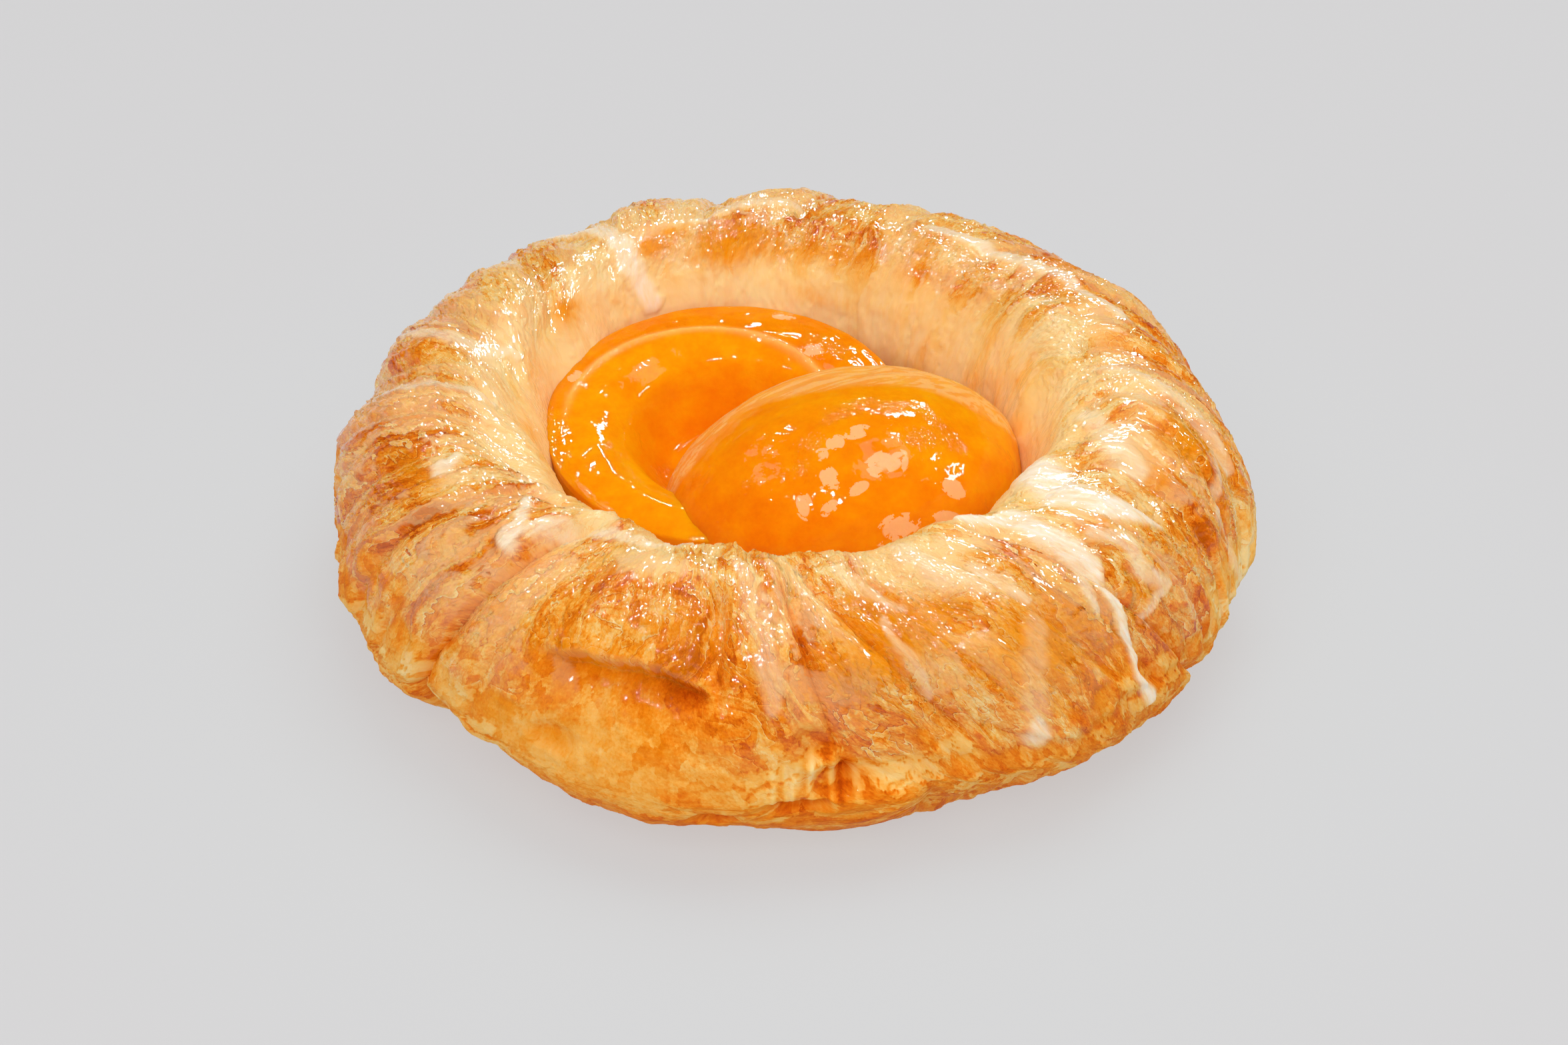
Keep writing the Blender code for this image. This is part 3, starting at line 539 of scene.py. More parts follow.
def dough_details(section, turn, radius):
    """Height of the sheets, flakes, icing, painted highlight streaks and grain, with the values that colour
    them, painted shade among them.

    Sheets are steps cut into a noise that is stretched along the folds. Flakes on the side are cells
    with bent borders, each at its own height. Each height is a noise or step times its share.
    """
    flow = flow_angle(turn, section)
    lean = np.radians(flow)
    wander = layered_noise(np.cos(lean) * 7.0, np.sin(lean) * 7.0, section * 0.035, 11, 2) - 0.5
    swung = lean + 0.16 * wander
    ring_x, ring_y = np.cos(swung) * MM_PER_RADIAN, np.sin(swung) * MM_PER_RADIAN
    up = section * MM_PER_SECTION_DEGREE
    streaks, threads, mottle, jagged, broad, grain, side_edge, sugar, skin = (
        layered_noise(ring_x * across, ring_y * across, up * along, seed, octaves, fall) - 0.5
        for across, along, seed, octaves, fall in NOISES
    )

    def from_level(fade):
        return smooth_step((section - fade[0]) / fade[1])

    middle, half_width, top, span = FLAP_FACE
    bulge = np.exp(-((signed_degrees(turn - middle) / half_width) ** 4)) * smooth_step((top - section) / span)
    side = np.maximum(smooth_step((SIDE_FADE[0] + 60.0 * side_edge - section) / SIDE_FADE[1]), bulge)
    well = from_level(WELL_FADE)
    lip = from_level(LIP_FADE) * np.clip(0.3 - 1.5 * np.sin(np.radians(turn)), 0.0, 1.0)
    pooled = np.clip(spots(turn, section, [(*pool, 1.0) for pool in POOLS]), 0.0, 1.0)
    thick, white = icing_and_highlight_cover(turn, section, radius, 1.6 * mottle, 0.28 * jagged)
    flap_top = zone(turn, section, FLAP_TOP)
    torn_zone = zone(turn, section, TORN_ZONE)

    sheets = 11.0 * broad + 5.0 * streaks + 2.2 * jagged + 1.6 * mottle
    level = np.floor(sheets)
    edge = sheets - level
    leaf_height = smooth_step(edge / SHEET_STEP) - 0.85 * edge + 0.3 * level_value(level, 3)
    around = flow * 0.84
    flake_border, flake_value = cells(
        around * 0.36 + 1.6 * jagged + 0.5 * streaks, up * 0.50 + 1.6 * mottle + 1.1 * jagged, 301
    )
    fibres = layered_noise(turn * 1.1, section * 0.035, 0.0 * turn, 95, 2, 0.5) - 0.5
    holes = np.clip(spots(turn, section, HOLES), 0.0, 1.0)

    sugared = smooth_step(sugar / 0.12) * from_level(SUGAR_FADE)
    sugared = np.maximum(sugared * (1.0 - 0.3 * well), flap_top * smooth_step((mottle + 0.06) / 0.08))
    sugared = sugared * (1.0 - pooled)
    bare = (1.0 - 0.75 * white) * (1.0 - 0.7 * pooled)
    browning_and_painted_light = np.interp(section, *np.array(BROWNING_AND_WELL_LIGHT_BY_SECTION).T) + spots(turn, section, BROWNING)
    film = skin + 0.30 * jagged + 0.25 * (0.48 - browning_and_painted_light)
    film = smooth_step((film + 0.01 + 0.16 * pooled - 0.30 * flap_top) / 0.05) * from_level(FILM_FADE)

    relief = SHEET_HEIGHT * leaf_height * (1.0 - 0.85 * side) * (1.0 - 0.85 * well) * bare
    relief += (STREAK_HEIGHT * streaks + THREAD_HEIGHT * threads) * bare * (1.0 - 0.92 * well)
    flake_step = FLAKE_HEIGHT * flake_value * smooth_step(flake_border / FLAKE_STEP)
    relief += flake_step * side * bare * (1.0 - 0.75 * bulge) * from_level(LOW_FADE)
    relief += (0.02 + 0.16 * sugared + 0.16 * bulge + 0.10 * side) * grain * bare
    relief += MOTTLE_HEIGHT * mottle + thick + FILM_HEIGHT * film
    relief += FIBRE_HEIGHT * torn_zone * fibres - HOLE_DEPTH * holes

    browning_and_painted_light = browning_and_painted_light + 0.45 * streaks * (1.0 - 0.8 * well) + 0.30 * mottle + 0.14 * jagged
    # Paler torn fibres, and holes baked darker as painted shade
    browning_and_painted_light += torn_zone * (-fibres - 0.20) + 0.20 * holes
    # Darker in the grooves between flakes, a painted shade, and paler on the pale flakes
    pale_flake = smooth_step((flake_value - 0.58) / 0.05) * smooth_step((flake_border - 0.04) / 0.05)
    flake_tone = 0.16 * np.exp(-flake_border / 0.05) - 0.26 * pale_flake + 0.06
    browning_and_painted_light += flake_tone * side * (1.0 - 0.7 * bulge)
    golden = np.clip(spots(turn, section, GOLDEN) * (1.0 + 1.6 * jagged), 0.0, 1.0)
    film *= 1.0 - 0.8 * golden
    return relief * MM, {
        "browning_and_painted_light": browning_and_painted_light, "sheet": sheets, "thread": threads, "film": film, "white": white,
        "sugared": sugared, "pooled": pooled, "side": side, "well": well, "golden": golden, "lip": lip,
    }


def dough_points(fold, section, flat):
    """The twisted ring, with folds, edges, pits, swells and fine layers added along its normal."""
    radius, height, out, up = smooth_ring(section)
    turn = ring_angle(fold, section)
    outward, lift, wave = swells(fold, section)
    folds, crease = fold_relief(fold, section, radius)
    edges, edge_shade = edge_relief(fold, section)
    pits, pit_shade = crag_relief(fold, section, radius)
    fine, values = dough_details(section, turn, radius)
    relief = folds + edges + pits + wave + fine
    from_underside = smooth_step((section - UNDERSIDE_EDGE) / RELIEF_FADE)
    from_well = smooth_step((WELL_EDGE - section) / RELIEF_FADE)
    on_ring = from_underside * from_well
    upper = smooth_step(np.sin(np.radians(section)))
    radius = radius + on_ring * (relief * out + outward)
    height = height + on_ring * (relief * up + lift * upper)
    in_well = section > CREST_SECTION
    floor = WELL_FLOOR_HEIGHT - FLOOR_CENTRE_DROP * (1.0 - flat)
    blend = smooth_step((1.0 - flat) / WELL_CORNER)
    height = np.where(in_well, height + (floor - height) * blend, height)
    radius = radius * flat
    angle = np.radians(turn)
    points = np.stack((radius * np.cos(angle), radius * np.sin(angle), height), axis=-1)
    cleared = points[in_well]
    for _ in range(CLEARING_ROUNDS):
        for half in (BACK_ROOM, FRONT_ROOM):
            cleared = pushed_clear(cleared, *half)
    points[in_well] = cleared
    # Painted shade in the fold creases
    values["crease"] = np.clip(crease, 0.0, 1.0)
    # Painted shade in the pits and just under the free edges
    values["torn"] = np.clip(pit_shade + 0.8 * edge_shade, 0.0, 1.0)
    return points + RING_MIDDLE, values


def grid_mesh(name, points, values, uv, material, closed_round=False):
    """A mesh from a grid of points, rows by columns, with one value attribute per entry and a UV map."""
    rows, columns = points.shape[:2]
    index = np.arange(rows * columns).reshape(rows, columns)
    right = np.roll(index, -1, axis=1) if closed_round else index[:, 1:]
    here = index if closed_round else index[:, :-1]
    quads = np.stack((here[:-1], right[:-1], right[1:], here[1:]), axis=-1).reshape(-1, 4)
    mesh = bpy.data.meshes.new(name)
    mesh.vertices.add(rows * columns)
    mesh.vertices.foreach_set("co", points.astype(np.float32).ravel())
    mesh.loops.add(quads.size)
    mesh.loops.foreach_set("vertex_index", quads.astype(np.int32).ravel())
    mesh.polygons.add(len(quads))
    mesh.polygons.foreach_set("loop_start", np.arange(0, quads.size, 4, dtype=np.int32))
    mesh.update(calc_edges=True)
    for key, value in values.items():
        kind, entry = ("FLOAT_VECTOR", "vector") if value.ndim == 3 else ("FLOAT", "value")
        attribute = mesh.attributes.new(key, kind, "POINT")
        attribute.data.foreach_set(entry, value.astype(np.float32).ravel())
    layer = mesh.uv_layers.new(name="surface")
    layer.data.foreach_set("uv", uv.reshape(-1, 2)[quads.ravel()].astype(np.float32).ravel())
    mesh.shade_smooth()
    mesh.materials.append(material)
    made = bpy.data.objects.new(name, mesh)
    bpy.context.scene.collection.objects.link(made)
    return made


def evened(values, reach):
    """Mean over a square of grid points that reaches so many rows and columns each way."""
    for axis in (0, 1):
        padded = np.concatenate([np.repeat(values.take([0], axis), reach + 1, axis), values,
                                 np.repeat(values.take([-1], axis), reach, axis)], axis)
        total = np.cumsum(padded, axis=axis)
        size = values.shape[axis]
        first = total.take(np.arange(size), axis)
        values = (total.take(np.arange(size) + 2 * reach + 1, axis) - first) / (2 * reach + 1)
    return values


# Share of the fine normal in the glaze's, and how many grid points each way the rest is evened over
GLAZE_FINE_SHARE = 0.20
GLAZE_REACH = 4


def glaze_normals(points):
    """Normals of the glaze, which fills small steps: share * fine normal + (1 - share) * evened normal."""
    fine = np.cross(np.gradient(points, axis=1), np.gradient(points, axis=0))
    fine /= np.maximum(np.linalg.norm(fine, axis=-1, keepdims=True), 1e-12)
    mixed = GLAZE_FINE_SHARE * fine + (1.0 - GLAZE_FINE_SHARE) * evened(fine, GLAZE_REACH)
    return mixed / np.maximum(np.linalg.norm(mixed, axis=-1, keepdims=True), 1e-9)


def linear(red, green, blue):
    """Linear red, green, blue and alpha 1 of an 8-bit display colour."""
    share = np.array((red, green, blue)) / 255.0
    return (*np.where(share <= 0.04045, share / 12.92, ((share + 0.055) / 1.055) ** 2.4), 1.0)


class Nodes:
    """Short calls for the nodes of one material."""

    def __init__(self, name):
        self.material = bpy.data.materials.new(name)
        self.material.use_nodes = True
        self.tree = self.material.node_tree
        self.shader = self.tree.nodes["Principled BSDF"]

    def add(self, kind, settings=None, **inputs):
        node = self.tree.nodes.new(kind)
        for key, value in (settings or {}).items():
            setattr(node, key, value)
        for key, value in inputs.items():
            self.feed(node.inputs[key.replace("_", " ")], value)
        return node

    def feed(self, socket, value):
        if isinstance(value, bpy.types.NodeSocket):
            self.tree.links.new(value, socket)
        else:
            socket.default_value = value

    def attribute(self, name):
        return self.add("ShaderNodeAttribute", {"attribute_name": name}).outputs["Fac"]

    def math(self, operation, first, second=0.0, third=0.0, clamp=False):
        node = self.add("ShaderNodeMath", {"operation": operation, "use_clamp": clamp})
        for socket, value in zip(node.inputs, (first, second, third)):
            self.feed(socket, value)
        return node.outputs[0]

    def times(self, first, second, clamp=False):
        return self.math("MULTIPLY", first, second, clamp=clamp)

    def scaled(self, value, factor, plus, clamp=False):
        return self.math("MULTIPLY_ADD", value, factor, plus, clamp)

    def less(self, first, second, clamp=False):
        return self.math("SUBTRACT", first, second, clamp=clamp)

    def mix(self, share, first, second):
        node = self.add("ShaderNodeMix", {"data_type": "RGBA"})
        self.feed(node.inputs["Factor"], share)
        self.feed(node.inputs[6], first)
        self.feed(node.inputs[7], second)
        return node.outputs[2]

    def ramp(self, value, stops):
        node = self.add("ShaderNodeValToRGB", Fac=value)
        elements = node.color_ramp.elements
        while len(elements) < len(stops):
            elements.new(0.5)
        for element, (place, colour) in zip(elements, stops):
            element.position = place
            element.color = colour
        return node.outputs["Color"]

    def noise(self, coordinates, stretch, scale, detail, roughness):
        """Noise whose features are stretched along the second axis where the stretch is below 1."""
        place = self.add("ShaderNodeMapping", Vector=coordinates, Scale=(1.0, stretch, 1.0)).outputs[0]
        made = self.add("ShaderNodeTexNoise", Vector=place, Scale=scale, Detail=detail, Roughness=roughness)
        return made.outputs["Fac"]

    def flakes(self, coordinates, stretch, scale, warp):
        """A random value for each cell of a Voronoi pattern whose borders are bent by noise."""
        place = self.add("ShaderNodeMapping", Vector=coordinates, Scale=(1.0, stretch, 1.0)).outputs[0]
        bend = self.add("ShaderNodeTexNoise", Vector=place, Scale=scale * 1.6, Detail=3.0, Roughness=0.6)
        pushed = self.add("ShaderNodeVectorMath", {"operation": "MULTIPLY_ADD"})
        for socket, value in zip(pushed.inputs, (bend.outputs["Color"], (warp, warp, 0.0), place)):
            self.feed(socket, value)
        flat = {"voronoi_dimensions": "2D"}
        cell = self.add("ShaderNodeTexVoronoi", flat, Vector=pushed.outputs[0], Scale=scale)
        return self.add("ShaderNodeSeparateColor", Color=cell.outputs["Color"]).outputs[0]

    def bump(self, height, strength, distance, normal=None):
        node = self.add("ShaderNodeBump", Strength=strength, Distance=distance, Height=height)
        if normal is not None:
            self.feed(node.inputs["Normal"], normal)
        return node.outputs[0]

    def finished(self, settings):
        """The material, with the settings made on the shader's own sockets."""
        for key, value in settings.items():
            self.shader.inputs[key].default_value = value
        return self.material


# Colour of the dough by how far it is baked; painted shade moves a place darker along it, and painted light
# on the well wall paler
BAKED_AND_PAINTED_LIGHT_COLOURS = (
    (0.00, linear(255, 220, 152)), (0.16, linear(254, 200, 112)), (0.32, linear(252, 181, 82)),
    (0.48, linear(246, 155, 46)), (0.64, linear(239, 130, 22)), (0.82, linear(222, 104, 11)),
    (1.00, linear(194, 79, 8)),
)
GOLDEN_COLOUR = linear(247, 150, 12)
FILM_COLOUR = linear(255, 214, 152)
POOL_AND_SHEEN_COLOUR = linear(255, 219, 164)
THIN_ICING_AND_HIGHLIGHT_COLOUR = linear(255, 218, 156)
ICING_AND_HIGHLIGHT_COLOUR = linear(255, 242, 226)
# Patterns on the dough (streak, fleck, speck, patch, wave, crinkle): stretch along the folds, features
# per mm, detail, roughness
DOUGH_PATTERNS = (
    (0.18, 1.5, 4.0, 0.62), (0.6, 2.2, 3.0, 0.65), (0.7, 4.5, 2.0, 0.6), (0.35, 0.40, 3.0, 0.55),
    (0.42, 0.34, 1.0, 0.45), (0.60, 0.95, 1.0, 0.5),
)
# Chips: stretch along the folds, cells per mm, how far their borders bend
DOUGH_CHIPS = (0.42, 1.5, 0.7)
# What the streaks, flecks, chips and specks add to the baking
BAKING_SPREADS = (0.36, 0.60, 0.42, 0.72)
# What a sheet's tone, the painted shade just under its edge, its pale rim and a thread add to the baking
SHEET_TONES = (0.50, 0.42, -0.42, 0.20)


def dough_material():
    """Baked dough: a browning ramp from cream to brown, with streaks along the folds and painted shade in
    creases, pits and under edges, under a clear glaze.
    """
    n = Nodes("baked_dough")
    surface = n.add("ShaderNodeUVMap", {"uv_map": "surface"}).outputs[0]
    streak, fleck, speck, patch, wave, crinkle = (n.noise(surface, *row) for row in DOUGH_PATTERNS)
    chip = n.flakes(surface, *DOUGH_CHIPS)
    browning_and_painted_light, crease, torn, side, well, lip, film, white, sugared, pooled, golden = (
        n.attribute(key) for key in (
            "browning_and_painted_light", "crease", "torn", "side", "well", "lip", "film", "white", "sugared", "pooled", "golden"
        )
    )

    sheet = n.scaled(n.less(fleck, 0.5), 0.35, n.attribute("sheet"))
    level = n.math("FLOOR", sheet)
    edge = n.less(sheet, level)
    leaf = n.add("ShaderNodeTexWhiteNoise", {"noise_dimensions": "1D"}, W=level).outputs["Value"]
    rim = n.less(1.0, n.times(edge, 7.0), clamp=True)
    # Painted shade at the foot of the next sheet's step
    under_edge_shade = n.times(n.less(edge, 0.90, clamp=True), 10.0, clamp=True)
    line = n.less(1.0, n.times(n.math("ABSOLUTE", n.attribute("thread")), 28.0), clamp=True)

    rough = 0.0
    for pattern, spread in zip((streak, fleck, chip, speck), BAKING_SPREADS):
        rough = n.scaled(n.less(pattern, 0.5), spread, rough)
    rough = n.times(rough, n.scaled(browning_and_painted_light, 1.9, 0.12, clamp=True))
    calm = n.times(n.scaled(well, -0.94, 1.0), n.scaled(film, -0.35, 1.0))
    calm = n.times(calm, n.scaled(side, -0.30, 1.0))
    tone = 0.0
    for part, amount in zip((n.less(leaf, 0.5), under_edge_shade, rim, line), SHEET_TONES):
        tone = n.scaled(part, amount, tone)
    open_top = n.less(1.0, n.math("MAXIMUM", side, well))
    bake_and_painted_light = n.scaled(tone, open_top, n.scaled(rough, calm, browning_and_painted_light))
    # Painted shade: darker in the fold creases, in the pits and just under the free edges
    bake_and_painted_light = n.scaled(torn, 0.14, n.scaled(crease, 0.10, bake_and_painted_light), clamp=True)
    colour = n.ramp(bake_and_painted_light, BAKED_AND_PAINTED_LIGHT_COLOURS)
    wide = n.times(n.less(patch, 0.50, clamp=True), 4.0, clamp=True)
    colour = n.mix(n.scaled(golden, 0.80, n.times(wide, 0.40), clamp=True), colour, GOLDEN_COLOUR)
    colour = n.mix(n.times(film, n.scaled(chip, 0.32, 0.28)), colour, FILM_COLOUR)
    # Pale cream in the pools: partly the thick glaze's colour, partly painted sheen
    creamy_sheen = n.times(n.times(pooled, n.scaled(fleck, 0.7, 0.05)), n.less(1.0, golden, clamp=True))
    colour = n.mix(creamy_sheen, colour, POOL_AND_SHEEN_COLOUR)
    # Icing and the painted highlight streaks: cream where thin, white where thick
    cover = n.times(white, n.scaled(streak, 1.6, 0.10), clamp=True)
    colour = n.mix(n.times(cover, 1.2, clamp=True), colour, THIN_ICING_AND_HIGHLIGHT_COLOUR)
    colour = n.mix(n.times(cover, cover), colour, ICING_AND_HIGHLIGHT_COLOUR)
    n.feed(n.shader.inputs["Base Color"], colour)

    n.feed(n.shader.inputs["Coat Weight"], n.scaled(lip, -0.65, n.scaled(side, -0.85, 1.0)))
    bare = n.less(1.0, n.times(n.math("MAXIMUM", white, pooled), 0.8))
    height = n.scaled(chip, 0.35, n.math("ADD", n.times(streak, 0.6), n.times(fleck, 0.8)))
    n.feed(n.shader.inputs["Normal"], n.bump(n.times(n.times(height, bare), calm), 1.0, 0.0004))
    ridge = n.math("ABSOLUTE", n.less(crinkle, 0.5))
    wrinkled = n.times(ridge, n.scaled(sugared, -1.7, -0.50))
    smooth = n.times(n.scaled(chip, 0.06, wrinkled), bare)
    flowing = n.times(n.scaled(wave, 0.62, smooth), n.scaled(well, -0.35, 1.0))
    glaze = n.add("ShaderNodeAttribute", {"attribute_name": "glaze"}).outputs["Vector"]
    n.feed(n.shader.inputs["Coat Normal"], n.bump(flowing, 1.0, 0.0005, glaze))
    return n.finished({
        "Subsurface Weight": 0.20, "Subsurface Radius": (1.0, 0.42, 0.14), "Subsurface Scale": 0.0014,
        "Roughness": 0.5, "Coat Roughness": 0.03, "Coat IOR": 1.5, "Specular IOR Level": 0.0,
    })


# Lobes of the dough between deep folds: name, first and last fold angle, columns
LOBES = (
    ("dough_flap", 230, 269.5, 210), ("dough_right_lobe", 269.5, 323, 300), ("dough_right", 323, 374, 230),
    ("dough_back", 14, 105, 290), ("dough_back_left", 105, 173, 230), ("dough_left", 173, 230, 230),
)
LOBE_ROWS = 300
# Section angle and share of the radius by place in the rows, which crowd where the dough shows
SECTION_STOPS = (
    (0, -90), (0.02, -90), (0.05, -60), (0.12, -30), (0.3, 20), (0.78, 130), (0.97, 180), (1, 180),
)
FLAT_STOPS = ((0, 0), (0.02, 1), (0.97, 1), (1, 0))


def build_dough(material):
    """Each lobe on its own grid, from the middle of the underside over the crest to the middle of the well.

    The columns are evenly spaced by the running sum of the twist's largest stretch at three sections.
    """
    rows = np.linspace(0.0, 1.0, LOBE_ROWS)
    section_row = np.interp(rows, *np.array(SECTION_STOPS).T)
    flat_row = np.interp(rows, *np.array(FLAT_STOPS).T)
    for name, first, last, columns in LOBES:
        even = np.linspace(first, last, 400)
        stretch = np.ones_like(even)
        for section in (-20.0, 20.0, 140.0):
            stretch = np.maximum(stretch, np.abs(np.gradient(ring_angle(even, section), even)))
        way = np.concatenate(((0.0,), np.cumsum(0.5 * (stretch[1:] + stretch[:-1]))))
        column = np.interp(np.linspace(0.0, way[-1], columns), way, even)
        fold, section = np.meshgrid(column, section_row)
        flat = np.repeat(flat_row[:, None], columns, axis=1)
        points, values = dough_points(fold, section, flat)
        values["glaze"] = glaze_normals(points)
        flow = flow_angle(ring_angle(fold, section), section)
        uv = np.stack((np.radians(flow) * MM_PER_RADIAN, section * MM_PER_SECTION_DEGREE), axis=-1)
        lobe = grid_mesh(name, points, values, uv, material)
        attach(lobe, "root")
        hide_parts("pastry")


def apricot_points(around, along, relief, middle, half_lengths, heights, tilts, hollow_steps=()):
    """Half an apricot: unequal half-ellipsoids above and below the cut face, less steps down into it.

    The upper one is height * sqrt(level) where it is the flat, cut side.
    """
    polar = math.pi * along
    across, level = np.sin(polar), -np.cos(polar)
    flatness = 0.5 if heights[0] < heights[1] else 1.0
    x = half_lengths[0] * across * np.cos(around)
    y = half_lengths[1] * across * np.sin(around)
    z = np.where(level >= 0.0, heights[0] * np.clip(level, 0.0, 1.0) ** flatness, heights[1] * level)
    from_stone = np.hypot(x - HOLLOW_MIDDLE[0], y - HOLLOW_MIDDLE[1])
    for depth, start, end in hollow_steps:
        z = z - np.where(level >= 0.0, depth * smooth_step((start - from_stone) / (start - end)), 0.0)
    steepness = np.stack((x / half_lengths[0] ** 2, y / half_lengths[1] ** 2, z / heights[0] ** 2), axis=-1)
    normal = steepness / np.maximum(np.linalg.norm(steepness, axis=-1, keepdims=True), 1e-9)
    if hollow_steps:
        normal = np.where(level[..., None] >= 0.0, (0.0, 0.0, 1.0), normal)
    local = np.stack((x, y, z), axis=-1) + normal * relief[..., None]
    return tilted(local, tilts) + np.array(middle), local


# Colour of the fruit by ripeness and painted shade
RIPENESS_AND_SHADE_COLOURS = (
    (0.00, linear(248, 162, 6)), (0.30, linear(245, 142, 4)), (0.55, linear(240, 126, 4)),
    (0.78, linear(231, 110, 5)), (1.00, linear(212, 90, 5)),
)
FIBRE_COLOUR = linear(255, 206, 136)
PAINTED_REFLECTION_COLOUR = linear(255, 196, 138)
# Patterns on the fruit (cloud, speck, wave, crinkle): stretch, features per metre, detail, roughness
FRUIT_PATTERNS = (
    (1.0, 260.0, 4.0, 0.55), (1.0, 1500.0, 3.0, 0.6), (1.0, 150.0, 1.0, 0.5), (1.0, 620.0, 2.0, 0.55),
)
# Angular cells of the painted reflection patches: stretch, cells per metre, how far their borders bend
FRUIT_CHIPS = (1.0, 760.0, 0.0024)


def fruit_material():
    """Wet apricot flesh: deep orange that lets light in, with fibres, painted shade and pale patches of
    painted reflection, under clear syrup.
    """
    n = Nodes("apricot_flesh")
    place = n.add("ShaderNodeTexCoord").outputs["Object"]
    cloud, speck, wave, crinkle = (n.noise(place, *row) for row in FRUIT_PATTERNS)
    ripeness_and_shade, fibre, painted_reflection, beaded = (n.attribute(key) for key in ("ripeness_and_shade", "fibre", "painted_reflection", "beaded"))
    tone = n.scaled(n.less(speck, 0.5), 0.25, n.scaled(n.less(cloud, 0.5), 0.9, ripeness_and_shade), clamp=True)
    colour = n.mix(n.times(fibre, 0.46), n.ramp(tone, RIPENESS_AND_SHADE_COLOURS), FIBRE_COLOUR)
    # Painted reflections: pale patches with angular edges
    angular = n.scaled(n.less(n.flakes(place, *FRUIT_CHIPS), 0.5), 0.9, n.less(painted_reflection, 0.53))
    patch = n.times(angular, 12.0, clamp=True)
    n.feed(n.shader.inputs["Base Color"], n.mix(n.times(patch, 0.72), colour, PAINTED_REFLECTION_COLOUR))
    n.feed(n.shader.inputs["Normal"], n.bump(speck, 0.35, 0.0003))
    ridge = n.math("ABSOLUTE", n.less(crinkle, 0.5))
    wrinkled = n.times(ridge, n.scaled(beaded, -0.72, -0.05))
    n.feed(n.shader.inputs["Coat Normal"], n.bump(n.scaled(wave, 0.32, wrinkled), 1.0, 0.0010))
    return n.finished({
        "Roughness": 0.5, "Specular IOR Level": 0.0, "Subsurface Weight": 0.4,
        "Subsurface Radius": (1.0, 0.34, 0.04), "Subsurface Scale": 0.003, "Coat Weight": 0.45,
        "Coat Roughness": 0.03, "Coat IOR": 1.45,
    })


# Marks on the fruit, each in shares of the half-lengths: place along and across, half-width, half-height. The
# patches are painted reflections.
PAINTED_REFLECTION_PATCHES = (
    (-0.03, -0.39, 0.07, 0.05), (-0.16, -0.4, 0.05, 0.06), (-0.26, -0.43, 0.04, 0.05),
    (0.02, -0.65, 0.12, 0.08), (-0.3, -0.59, 0.05, 0.09), (-0.18, -0.72, 0.06, 0.03),
    (0.32, -0.83, 0.07, 0.04), (-0.47, -0.63, 0.04, 0.08), (-0.36, -0.73, 0.05, 0.03),
    (-0.05, -0.93, 0.13, 0.04), (0.24, -0.94, 0.12, 0.03), (0.1, -0.62, 0.05, 0.03),
)
SPECKLES = (
    (-0.4, -0.42, 0.07, 0.07), (-0.28, -0.3, 0.08, 0.06), (-0.1, -0.2, 0.1, 0.05), (0.1, -0.15, 0.1, 0.05),
    (0.26, -0.26, 0.1, 0.06), (0.4, -0.43, 0.07, 0.1), (0.45, -0.6, 0.06, 0.08), (0.26, -0.54, 0.09, 0.08),
    (0.74, -0.57, 0.05, 0.05), (0.46, -0.84, 0.1, 0.04), (-0.86, -0.27, 0.06, 0.1),
    (-0.66, -0.3, 0.05, 0.05), (-0.36, -0.89, 0.12, 0.04), (-0.8, 0.05, 0.1, 0.1),
    (-0.2, -0.92, 0.06, 0.03), (0.8, -0.3, 0.1, 0.08),
)
BACK_PAINTED_REFLECTIONS = (
    (0.15, 0.27, 0.05, 0.04), (-0.85, 0.34, 0.04, 0.05), (0.31, 0.87, 0.06, 0.03), (0.5, 0.55, 0.08, 0.05),
)
BACK_SPECKLES = (
    (-0.16, 0.02, 0.05, 0.03), (-0.06, 0.07, 0.03, 0.02), (0.13, 0.42, 0.04, 0.05),
    (0.05, 0.42, 0.12, 0.03), (-0.64, -0.23, 0.03, 0.04), (-0.61, 0.58, 0.04, 0.03), (-0.48, 0, 0.03, 0.05),
    (0.5, 0.55, 0.16, 0.06), (0.35, 0.9, 0.12, 0.04), (-0.35, -0.1, 0.05, 0.08),
)
# Where the pale brow of the front half starts: place along, place across
BROW = (
    (-1, 0.2), (-0.76, 0.18), (-0.6, 0.27), (-0.4, 0.34), (-0.19, 0.2), (0.08, 0.06), (0.35, -0.04),
    (0.58, -0.22), (0.76, -0.38), (1, -0.45),
)


def blots(side_x, side_y, table, top):
    """Largest of exp(-r^4) over the marks on the upper side, r measured in each one's half-widths."""
    most = np.zeros_like(side_x)
    for x, y, half_width, half_height in table:
        away = ((side_x - x) / half_width) ** 2 + ((side_y - y) / half_height) ** 2
        most = np.maximum(most, np.exp(-(away**2)))
    return most * (top > 0.0)


FRUIT_COLUMNS = 400
FRUIT_ROWS = 246
# Noises of the fruit (lumps, speckle, spread of the painted reflection patches, threads,
# unevenness): features per half-length along, across and up, seed, octaves, fall
FRUIT_NOISES = (
    (3.2, 3.2, 3.0, 101, 3, 0.5), (34.0, 26.0, 20.0, 111, 2, 0.6), (7.0, 6.0, 6.0, 121, 3, 0.6),
    (3.0, 28.0, 20.0, 131, 3, 0.6), (9.0, 9.0, 8.0, 151, 3, 0.6),
)
# Heights in mm; the lumps' for the front and the back half
LUMP_HEIGHTS = (0.9, 0.6)
SPECKLE_HEIGHT = 0.06
UNEVEN_HEIGHT = 0.12
RIDGE_HEIGHT = 0.45


